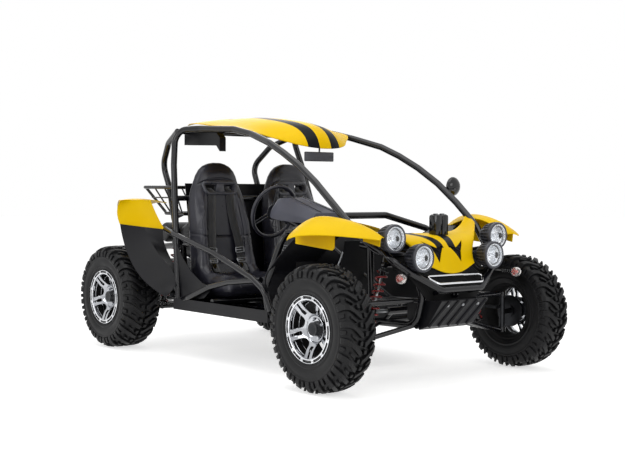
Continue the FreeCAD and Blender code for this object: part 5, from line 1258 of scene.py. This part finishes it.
slides, buckles = bmesh.new(), bmesh.new()
for hand in SIDES:
    for side in SIDES:
        line = [point + ACROSS * (hand * SEAT_MIDDLE) for point in belt_line(side)]
        for share, tall in SLIDES:
            at = int(share * (len(line) - 1))
            along = (line[at + 1] - line[at - 1]).normalized()
            out, across = off_pad(along)
            centre = line[at] + out * SLIDE_RAISE
            corners = [(x * SLIDE_HALF, z * tall) for x, z in ((-1, -1), (1, -1), (1, 1), (-1, 1))]
            loop = [centre + across * p.x + along * p.y for p in rounded(corners, SLIDE_CORNER, 4)]
            sweep(slides, loop, SLIDE_BAR, 8, closed=True)
            sweep(slides, [centre - across * SLIDE_HALF, centre + across * SLIDE_HALF], SLIDE_BAR, 8)
        along = (line[-1] - line[-3]).normalized()
        out, across = off_pad(along)
        space = Matrix.Translation(line[-1] + out * BUCKLE_RAISE) @ laid_along(across, along, out)
        bmesh.ops.create_cube(buckles, size=1.0, matrix=space @ Matrix.Diagonal((*BUCKLE, 1)))
fitted("harness_slides", slides, steel)
fitted("harness_buckles", buckles, gloss_black, 3 * MM)

# %% [markdown]
# ## Cowl and low dash panel
# The instrument cowl is a faceted shell of soft-touch plastic: narrow and high at the
# driver's end, wider and lower towards the nose, with a broad slope on each shoulder. It is
# lofted through four sections of six corners, and its edges are rounded like a moulding's.
# Two ribs run down its top and three switches stand on its face. Below it a plain panel
# closes the dash from side to side.

# %% cowl and dash panel
COWL_SECTIONS = (
    # station in metres, then across and height of six corners in millimetres
    (0.158, (-372, 836), (-362, 872), (-326, 915), (-222, 918), (-186, 874), (-178, 836)),
    (0.186, (-385, 826), (-374, 876), (-330, 936), (-212, 940), (-166, 880), (-157, 826)),
    (0.270, (-396, 816), (-386, 870), (-338, 940), (-204, 944), (-152, 876), (-140, 816)),
    (0.552, (-405, 802), (-400, 824), (-358, 862), (-186, 864), (-140, 828), (-134, 802)),
)
COWL_RIBS = (((-0.300, 0.943), (-0.318, 0.867)), ((-0.236, 0.944), (-0.222, 0.868)))
RIB_X, RIB_CREST, RIB_BAR = (0.19, 0.27, 0.545), 0.9475, 2.6 * MM
SWITCHES = ((-0.345, -0.315), (-0.300, -0.284), (-0.270, -0.254))
SWITCH_X, SWITCH_Z = (0.150, 0.172), (0.846, 0.862)
DASH_X, DASH_HALF, DASH_Z, DASH_RAKE = (0.470, 0.474), 0.452, (0.560, 0.738), 0.03


def block(mesh, xs, ys, zs):
    """Eight corners between three pairs of coordinates."""
    outline = ((ys[0], zs[0]), (ys[1], zs[0]), (ys[1], zs[1]), (ys[0], zs[1]))
    skin(mesh, [stood_up(outline, x) for x in xs])


cowl = bmesh.new()
skin(cowl, [stood_up(in_metres(corners), x) for x, *corners in COWL_SECTIONS])
cowl_piece = fitted("instrument_cowl", cowl, cowl_plastic, 5 * MM, 12)
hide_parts("dash")
details = bmesh.new()
for start, end in COWL_RIBS:
    crest = ((start[0] + end[0]) / 2, RIB_CREST)
    sweep(details, [(x, *spot) for x, spot in zip(RIB_X, (start, crest, end))], RIB_BAR, 8)
for ys in SWITCHES:
    block(details, SWITCH_X, ys, SWITCH_Z)
fitted("cowl_switches_and_ribs", details, lamp_plastic, 1.5 * MM)
panel = bmesh.new()
block(panel, DASH_X, (-DASH_HALF, DASH_HALF), DASH_Z)
for vertex in panel.verts:
    vertex.co.x += DASH_RAKE * (DASH_Z[1] - vertex.co.z) / (DASH_Z[1] - DASH_Z[0])
fitted("low_dash_panel", panel, liner_plastic, 1.2 * MM)

# %% [markdown]
# ## Steering wheel
# A thick foam grip is moulded round a steel ring, and three pressed spokes with a lengthwise
# groove meet under a round boss with a domed horn button. It is made about its own axis and
# laid on the column, and its grip swells three times round for the hands.

# %% steering wheel
WHEEL_CENTRE = Vector((0.07, -0.27, 0.86))
WHEEL_LEAN = 0.305
WHEEL_AXIS = Vector((-1, 0, WHEEL_LEAN)).normalized()
WHEEL_UP = Vector((WHEEL_LEAN, 0, 1)).normalized()
WHEEL_RADIUS = 0.150
GRIP_STEPS, GRIP_BAR, GRIP_SWELL = 60, 10.8 * MM, 0.10
SPOKE_RAILS = ((-13 * MM, -5 * MM), (5 * MM, 13 * MM))
SPOKE_WAY, SPOKE_SHEET = (20 * MM, WHEEL_RADIUS - 6 * MM), (0.5 * MM, 4.5 * MM)
BOSS = ((-1, 0.3), (-1, 47), (1.5, 50), (5, 48), (7, 34), (17, 31), (23, 26), (25.5, 14), (26, 0.3))
wheel_space = Matrix.Translation(WHEEL_CENTRE) @ laid_along(WHEEL_UP, WHEEL_AXIS, WHEEL_UP.cross(WHEEL_AXIS))

grip = bmesh.new()
ring = [about_axis(0, WHEEL_RADIUS, math.tau * step / GRIP_STEPS) for step in range(GRIP_STEPS)]
sweep(grip, ring, GRIP_BAR, 16, closed=True)
for vertex in grip.verts:
    around = math.atan2(vertex.co.x, vertex.co.z)
    vertex.co += (vertex.co - about_axis(0, WHEEL_RADIUS, around)) * GRIP_SWELL * math.cos(3 * around)
grip.transform(wheel_space)
grip_piece = mesh_piece("steering_wheel_grip", grip, vinyl)
spokes = bmesh.new()
for index in range(3):
    made = len(spokes.verts)
    for rail in SPOKE_RAILS:
        block(spokes, SPOKE_WAY, SPOKE_SHEET, rail)
    bmesh.ops.rotate(
        spokes, verts=list(spokes.verts)[made:], cent=(0, 0, 0),
        matrix=Matrix.Rotation(math.tau * index / 3, 3, "Y"))
lathe(spokes, in_metres(BOSS), 40)
spokes.transform(wheel_space)
spoke_piece = mesh_piece("steering_wheel_spokes", spokes, lamp_plastic)
break_edges(spoke_piece, 1 * MM)
for piece in (grip_piece, spoke_piece):
    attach(piece, "steering_wheel")
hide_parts("steering_wheel")
print("steering wheel faces", len(grip_piece.data.polygons) + len(spoke_piece.data.polygons))

# %% [markdown]
# ## Mirrors
# The inside mirror is a rounded grey case with its glass set into the side that the driver
# sees, on a ball stem under the roof's lip. The round outside one is a turned cup with its
# glass, on a bent arm from the cage.

# %% mirrors
CASE_X, CASE_Y, CASE_Z = (0.145, 0.165), (-0.115, 0.095), (1.150, 1.205)
STEM = ((0.157, -0.01, 1.19), (0.158, -0.01, 1.222), (0.150, -0.004, 1.238))
CASE_GLASS = ((-0.107, 1.158), (0.087, 1.158), (0.087, 1.197), (-0.107, 1.197))
CASE_GLASS_X, CASE_GLASS_CORNER = (0.1442, 0.1470), 0.012
CUP = (
    (1, 47), (-1, 50), (-0.5, 53.5), (2, 54.8), (8, 53), (16, 46.5), (23, 37), (27.5, 28), (29.5, 16),
    (30, 0.3))
CUP_GLASS = ((0.6, 0.3), (0.8, 30), (1.4, 50.5), (3, 50.5))
ARM = ((0.724, 0.535, 1.004), (0.732, 0.510, 0.992), (0.722, 0.476, 0.986), (0.711, 0.462, 0.985))
cup_space = facing_forward((0.70, 0.535, 1.01))

case, case_glass, cup, cup_glass = bmesh.new(), bmesh.new(), bmesh.new(), bmesh.new()
block(case, CASE_X, CASE_Y, CASE_Z)
sweep(case, STEM, 5 * MM)
skin(case_glass, [stood_up(rounded(CASE_GLASS, CASE_GLASS_CORNER), x) for x in CASE_GLASS_X])
lathe(cup, in_metres(CUP), 48, space=cup_space)
sweep(cup, ARM, 6 * MM)
lathe(cup_glass, in_metres(CUP_GLASS), 48, space=cup_space)
inner_piece = fitted("inside_mirror_case", case, slot_grey, 7 * MM, 60)
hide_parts("mirrors")
fitted("outside_mirror_cup", cup, gloss_black)
fitted("inside_mirror_glass", case_glass, mirror_metal)
fitted("outside_mirror_glass", cup_glass, mirror_metal)

# %% [markdown]
# ## Indicators
# Each front indicator is an egg of clear plastic over a small orange bulb, on a black stalk
# with a flexible boot. Egg, shell and bulb are turned about the buggy's length, and the
# boot is four short collars on the stalk.

# %% indicators
SIGNAL, SIGNAL_FOOT = (1.277, 0.423, 0.558), (1.215, 0.295, 0.575)
EGG = (
    (26, 0.3), (25, 7), (21.5, 14.5), (15, 21), (7, 25), (-2, 26), (-10, 24.5), (-16, 21.5), (-16, 18),
    (-6, 21.5), (6, 21.5), (13, 17.5), (18, 12), (21, 5), (21.6, 0.3),
)
EGG_SHELL = ((-15.5, 23.2), (-13, 24.8), (-20, 23), (-28, 17.5), (-33.5, 10), (-34, 0.3))
EGG_BULB = ((9, 0.3), (8, 5), (4, 8), (-1, 9), (-8, 8), (-16, 8), (-16, 19))
STALK_BACK, STALK_KNEE, STALK_BAR = 18 * MM, 0.55, 4.5 * MM
COLLARS, COLLAR_WIDTH, COLLAR_BAR = (0.20, 0.30, 0.40, 0.50), 0.045, 8.5 * MM

lenses, shells, bulbs = bmesh.new(), bmesh.new(), bmesh.new()
for hand in SIDES:
    centre, foot = mirrored(SIGNAL, hand), mirrored(SIGNAL_FOOT, hand)
    for mesh, outline in ((lenses, EGG), (shells, EGG_SHELL), (bulbs, EGG_BULB)):
        lathe(mesh, in_metres(outline), 32, space=facing_forward(centre))
    start = centre - AHEAD * STALK_BACK
    way = foot - start
    sweep(shells, [start, start + way * STALK_KNEE, foot], STALK_BAR, 12)
    for share in COLLARS:
        sweep(shells, [start + way * share, start + way * (share + COLLAR_WIDTH)], COLLAR_BAR, 14)
lens_piece = fitted("indicator_lenses", lenses, clear_lens)
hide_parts("signal_lamps")
fitted("indicator_shells", shells, gloss_black)
fitted("indicator_bulbs", bulbs, orange_bulb)

# %% [markdown]
# The tail lamps are two red lenses side by side in a dark box, on a bent bracket from the
# rear cross tube. They are blocks with rounded edges, as such mouldings are.

# %% tail lamps
TAIL_CASE = ((-1.228, -1.213), (0.320, 0.410), (0.700, 0.750))
TAIL_LENS_X, TAIL_LENS_Z = (-1.235, -1.2275), (0.705, 0.745)
TAIL_LENSES = ((0.325, 0.364), (0.366, 0.405))
TAIL_STAY = ((-1.222, 0.365, 0.722), (-1.214, 0.300, 0.655), (-1.20, 0.25, 0.605))

tails, tail_cases = bmesh.new(), bmesh.new()
for hand in SIDES:
    xs, ys, zs = TAIL_CASE
    block(tail_cases, xs, [hand * y for y in ys], zs)
    for ys in TAIL_LENSES:
        block(tails, TAIL_LENS_X, [hand * y for y in ys], TAIL_LENS_Z)
    sweep(tail_cases, [mirrored(p, hand) for p in TAIL_STAY], 6 * MM)
fitted("tail_lenses", tails, red_lens, 2.5 * MM)
fitted("tail_lamp_cases", tail_cases, lamp_plastic, 2.5 * MM, 60)

# %% [markdown]
# ## Nose reservoir
# The twin-lobed box on the hood's rear edge is glossy black, with a round cap on each lobe.
# Two blocks with very wide edge radii give its soft lobes.

# %% reservoir
LOBE_X, LOBE_Z, LOBE_WIDTH = (1.000, 1.059), (0.740, 0.862), 0.0495
LOBES = (0.036, 0.0845)
RESERVOIR_CAPS = (0.0608, 0.1093)
CAP_X, CAP_Z, CAP_RADIUS = 1.029, (0.858, 0.866), 13 * MM

reservoir, caps = bmesh.new(), bmesh.new()
for y in LOBES:
    block(reservoir, LOBE_X, (y, y + LOBE_WIDTH), LOBE_Z)
for y in RESERVOIR_CAPS:
    sweep(caps, [(CAP_X, y, z) for z in CAP_Z], CAP_RADIUS, 24)
reservoir_piece = fitted("nose_reservoir_case", reservoir, gloss_black, 13 * MM, 60)
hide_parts("nose_reservoir")
fitted("nose_reservoir_caps", caps, lamp_plastic, 1.5 * MM)

# %% [markdown]
# ## Hood lining
# Behind the hood's vents and under its chin a black lining closes the nose. Its shineless black
# is painted shade, a dark sheet for the shade behind the vents. It is a grid laid 9 mm behind
# the hood by rays cast from the front. Where they meet nothing, it carries on from its
# neighbours, and towards its sides it is bent back under the hood's edge.

# %% hood lining
LINING_HALF, LINING_LOW, LINING_HIGH = 0.325, 0.425, 0.735
LINING_GAP, LINING_THICK = 9 * MM, 4 * MM
COLUMNS, ROWS = 44, 28
NOSE_RAYS_FROM, HOOD_REAR = 1.6, 1.08
SWEEP_FROM, SWEEP_TOP, SWEEP_FLARE, SWEEP_BACK = 0.150, 0.70, 0.4, 0.25
WING_FROM, WING_LEVEL, WING_SINK, WING_RISE = 0.140, 0.600, 0.32, 0.03
WING_TOP_RUN, WING_FOOT_RUN = 0.135, 0.17


def lining_spot(row, column):
    """Across and height of one grid point."""
    z = LINING_HIGH + (LINING_LOW - LINING_HIGH) * row / ROWS
    return LINING_HALF * (2 * column / COLUMNS - 1), z


def bent_back(x, y, z):
    """The lining's sides sweep back, and narrow towards the hood's wing tips."""
    x -= SWEEP_BACK * max(0.0, abs(y) - SWEEP_FROM - SWEEP_FLARE * (SWEEP_TOP - z))
    wing = max(0.0, abs(y) - WING_FROM)
    z -= WING_SINK * wing * ease((z - WING_LEVEL) / WING_TOP_RUN)
    z += max(0.0, wing - WING_RISE) * ease((WING_LEVEL - z) / WING_FOOT_RUN)
    return x, y, z


hood = nodes["hood"]
hood_tree = BVHTree.FromPolygons(
    [hood.matrix_world @ v.co for v in hood.data.vertices], [tuple(f.vertices) for f in hood.data.polygons])
depths = {}
for row in range(ROWS + 1):
    for column in range(COLUMNS + 1):
        hit = hood_tree.ray_cast(Vector((NOSE_RAYS_FROM, *lining_spot(row, column))), -AHEAD)[0]
        depths[row, column] = hit.x - LINING_GAP if hit and hit.x > HOOD_REAR else None
while None in depths.values():
    filled = dict(depths)
    for (row, column), depth in depths.items():
        if depth is None:
            around = [depths.get((row + r, column + c)) for r in (-1, 0, 1) for c in (-1, 0, 1)]
            filled[row, column] = min((d for d in around if d is not None), default=None)
    depths = filled
lining = bmesh.new()
for shift in (0, -LINING_THICK):
    skin(lining, [
        [bent_back(depths[row, column] + shift, *lining_spot(row, column)) for column in range(COLUMNS + 1)]
        for row in range(ROWS + 1)], around=False, ends=False)
# The lining is in the painted-shade black, standing for the shade behind the vents and under the chin.
fitted("hood_lining", lining, painted_shade_black)
print("lining depth", round(min(depths.values()), 3), round(max(depths.values()), 3))

# %% [markdown]
# ## Bumper ring and skid plate bolts
# The thin ring inside the bumper is polished, so a bright sleeve is drawn over its path.
# Three bolts hold the skid plate's upper edge, each a washer under a six-sided head, square
# to the sloping plate.

# %% bumper ring and bolts
RING = ((1.222, 0.185, 0.556), (1.24, 0.195, 0.545), (1.276, 0.16, 0.52))
RING_CORNER, RING_SHARE, RING_BAR = 0.016, 0.4, 6.1 * MM
PLATE_EDGE = Vector((0.105, 0, 0.135)).normalized()
BOLT_PLACES = ((1.287, -0.11, 0.412), (1.287, 0.0, 0.412), (1.287, 0.11, 0.412))
WASHER_RADIUS, BOLT_RADIUS = 8.5 * MM, 5.5 * MM
BOLT_LEVELS = (2 * MM, 5 * MM, 8 * MM)

ring_line = [Vector(p) for p in RING] + [mirrored(p, -1) for p in reversed(RING)]
sleeve, bolts = bmesh.new(), bmesh.new()
sweep(sleeve, rounded(ring_line, RING_CORNER, 5, RING_SHARE), RING_BAR, 14, closed=True)
out = PLATE_EDGE.cross(-ACROSS)
for place in BOLT_PLACES:
    foot, seat, top = (Vector(place) + out * way for way in BOLT_LEVELS)
    sweep(bolts, [foot, seat], WASHER_RADIUS, 20)
    sweep(bolts, [seat, top], BOLT_RADIUS, 6, smooth=False)
fitted("polished_bumper_ring", sleeve, bright_chrome)
fitted("skid_plate_bolts", bolts, steel, 0.8 * MM)

# %% [markdown]
# ## Engine shroud and case ribs
# A black moulded shroud leads the cooling air over the finned cylinder and shows as a dark
# mass behind the seats. It is lofted through five rounded sections, with ribs on its
# flanks. The cast case gets the upright ribs and the bolted flange of its rear cover.

# %% engine shroud
SHROUD_SECTIONS = (
    # station, half width, bottom, top
    (-0.715, 0.150, 0.565, 0.715), (-0.745, 0.188, 0.545, 0.760), (-0.960, 0.192, 0.540, 0.775),
    (-1.050, 0.172, 0.550, 0.745), (-1.080, 0.135, 0.575, 0.700),
)
SHROUD_CORNER = 0.045
SHROUD_RIBS, SHROUD_RIB_X, SHROUD_RIB_Y = 6, (-0.945, -0.770), (0.170, 0.198)
SHROUD_RIB_FOOT, SHROUD_RIB_PITCH, SHROUD_RIB_HEIGHT = 0.590, 0.026, 0.010

shroud = bmesh.new()
sections = []
for x, half, bottom, top in SHROUD_SECTIONS:
    outline = rounded([(-half, bottom), (half, bottom), (half, top), (-half, top)], SHROUD_CORNER)
    sections.append(stood_up(outline, x))
skin(shroud, sections)
for hand in SIDES:
    for index in range(SHROUD_RIBS):
        z = SHROUD_RIB_FOOT + SHROUD_RIB_PITCH * index
        block(shroud, SHROUD_RIB_X, [hand * y for y in SHROUD_RIB_Y], (z, z + SHROUD_RIB_HEIGHT))
fitted("engine_shroud", shroud, liner_plastic, 3 * MM, 25)

# %% engine case
CASE_RIBS, CASE_RIB_REACH, CASE_RIB_HALF = 7, 0.150, 4 * MM
CASE_RIB_X, CASE_RIB_Z = (-1.136, -1.126), (0.330, 0.485)
FLANGE_X = (-1.137, -1.126)
FLANGE = (
    # across, height
    ((-0.192, 0.192), (0.300, 0.318)), ((-0.192, 0.192), (0.497, 0.515)),
    ((-0.192, -0.176), (0.318, 0.497)), ((0.176, 0.192), (0.318, 0.497)),
)
COVER_BOLTS_Y, COVER_BOLTS_Z = (-0.184, -0.092, 0.0, 0.092, 0.184), (0.309, 0.506)
COVER_BOLT_X, COVER_BOLT_RADIUS = (-1.136, -1.1395), 6.5 * MM

case_ribs, cover_bolts = bmesh.new(), bmesh.new()
for index in range(CASE_RIBS):
    y = CASE_RIB_REACH * (2 * index / (CASE_RIBS - 1) - 1)
    block(case_ribs, CASE_RIB_X, (y - CASE_RIB_HALF, y + CASE_RIB_HALF), CASE_RIB_Z)
for ys, zs in FLANGE:
    block(case_ribs, FLANGE_X, ys, zs)
for y in COVER_BOLTS_Y:
    for z in COVER_BOLTS_Z:
        sweep(cover_bolts, [(x, y, z) for x in COVER_BOLT_X], COVER_BOLT_RADIUS, 6, smooth=False)
fitted("engine_case_ribs", case_ribs, cast_alloy, 1.5 * MM)
fitted("engine_cover_bolts", cover_bolts, steel)

# %% [markdown]
# ## Rack rail
# The photograph shows a second thin rail round the basket a hand's width under the top one,
# so a rod is bent round the sloping bars at that height.

# %% rack rail
RAIL_FRONT, RAIL_REAR, RAIL_HALF, RAIL_Z = -0.724, -1.064, 0.391, 0.930
RAIL_CORNER, RAIL_BAR = 0.030, 4 * MM

rail = bmesh.new()
ways = ((RAIL_FRONT, -1), (RAIL_REAR, -1), (RAIL_REAR, 1), (RAIL_FRONT, 1))
corners = [(x, hand * RAIL_HALF) for x, hand in ways]
sweep(rail, [(p.x, p.y, RAIL_Z) for p in rounded(corners, RAIL_CORNER)], RAIL_BAR, closed=True)
fitted("rack_middle_rail", rail, powder_coat)

low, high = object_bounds()
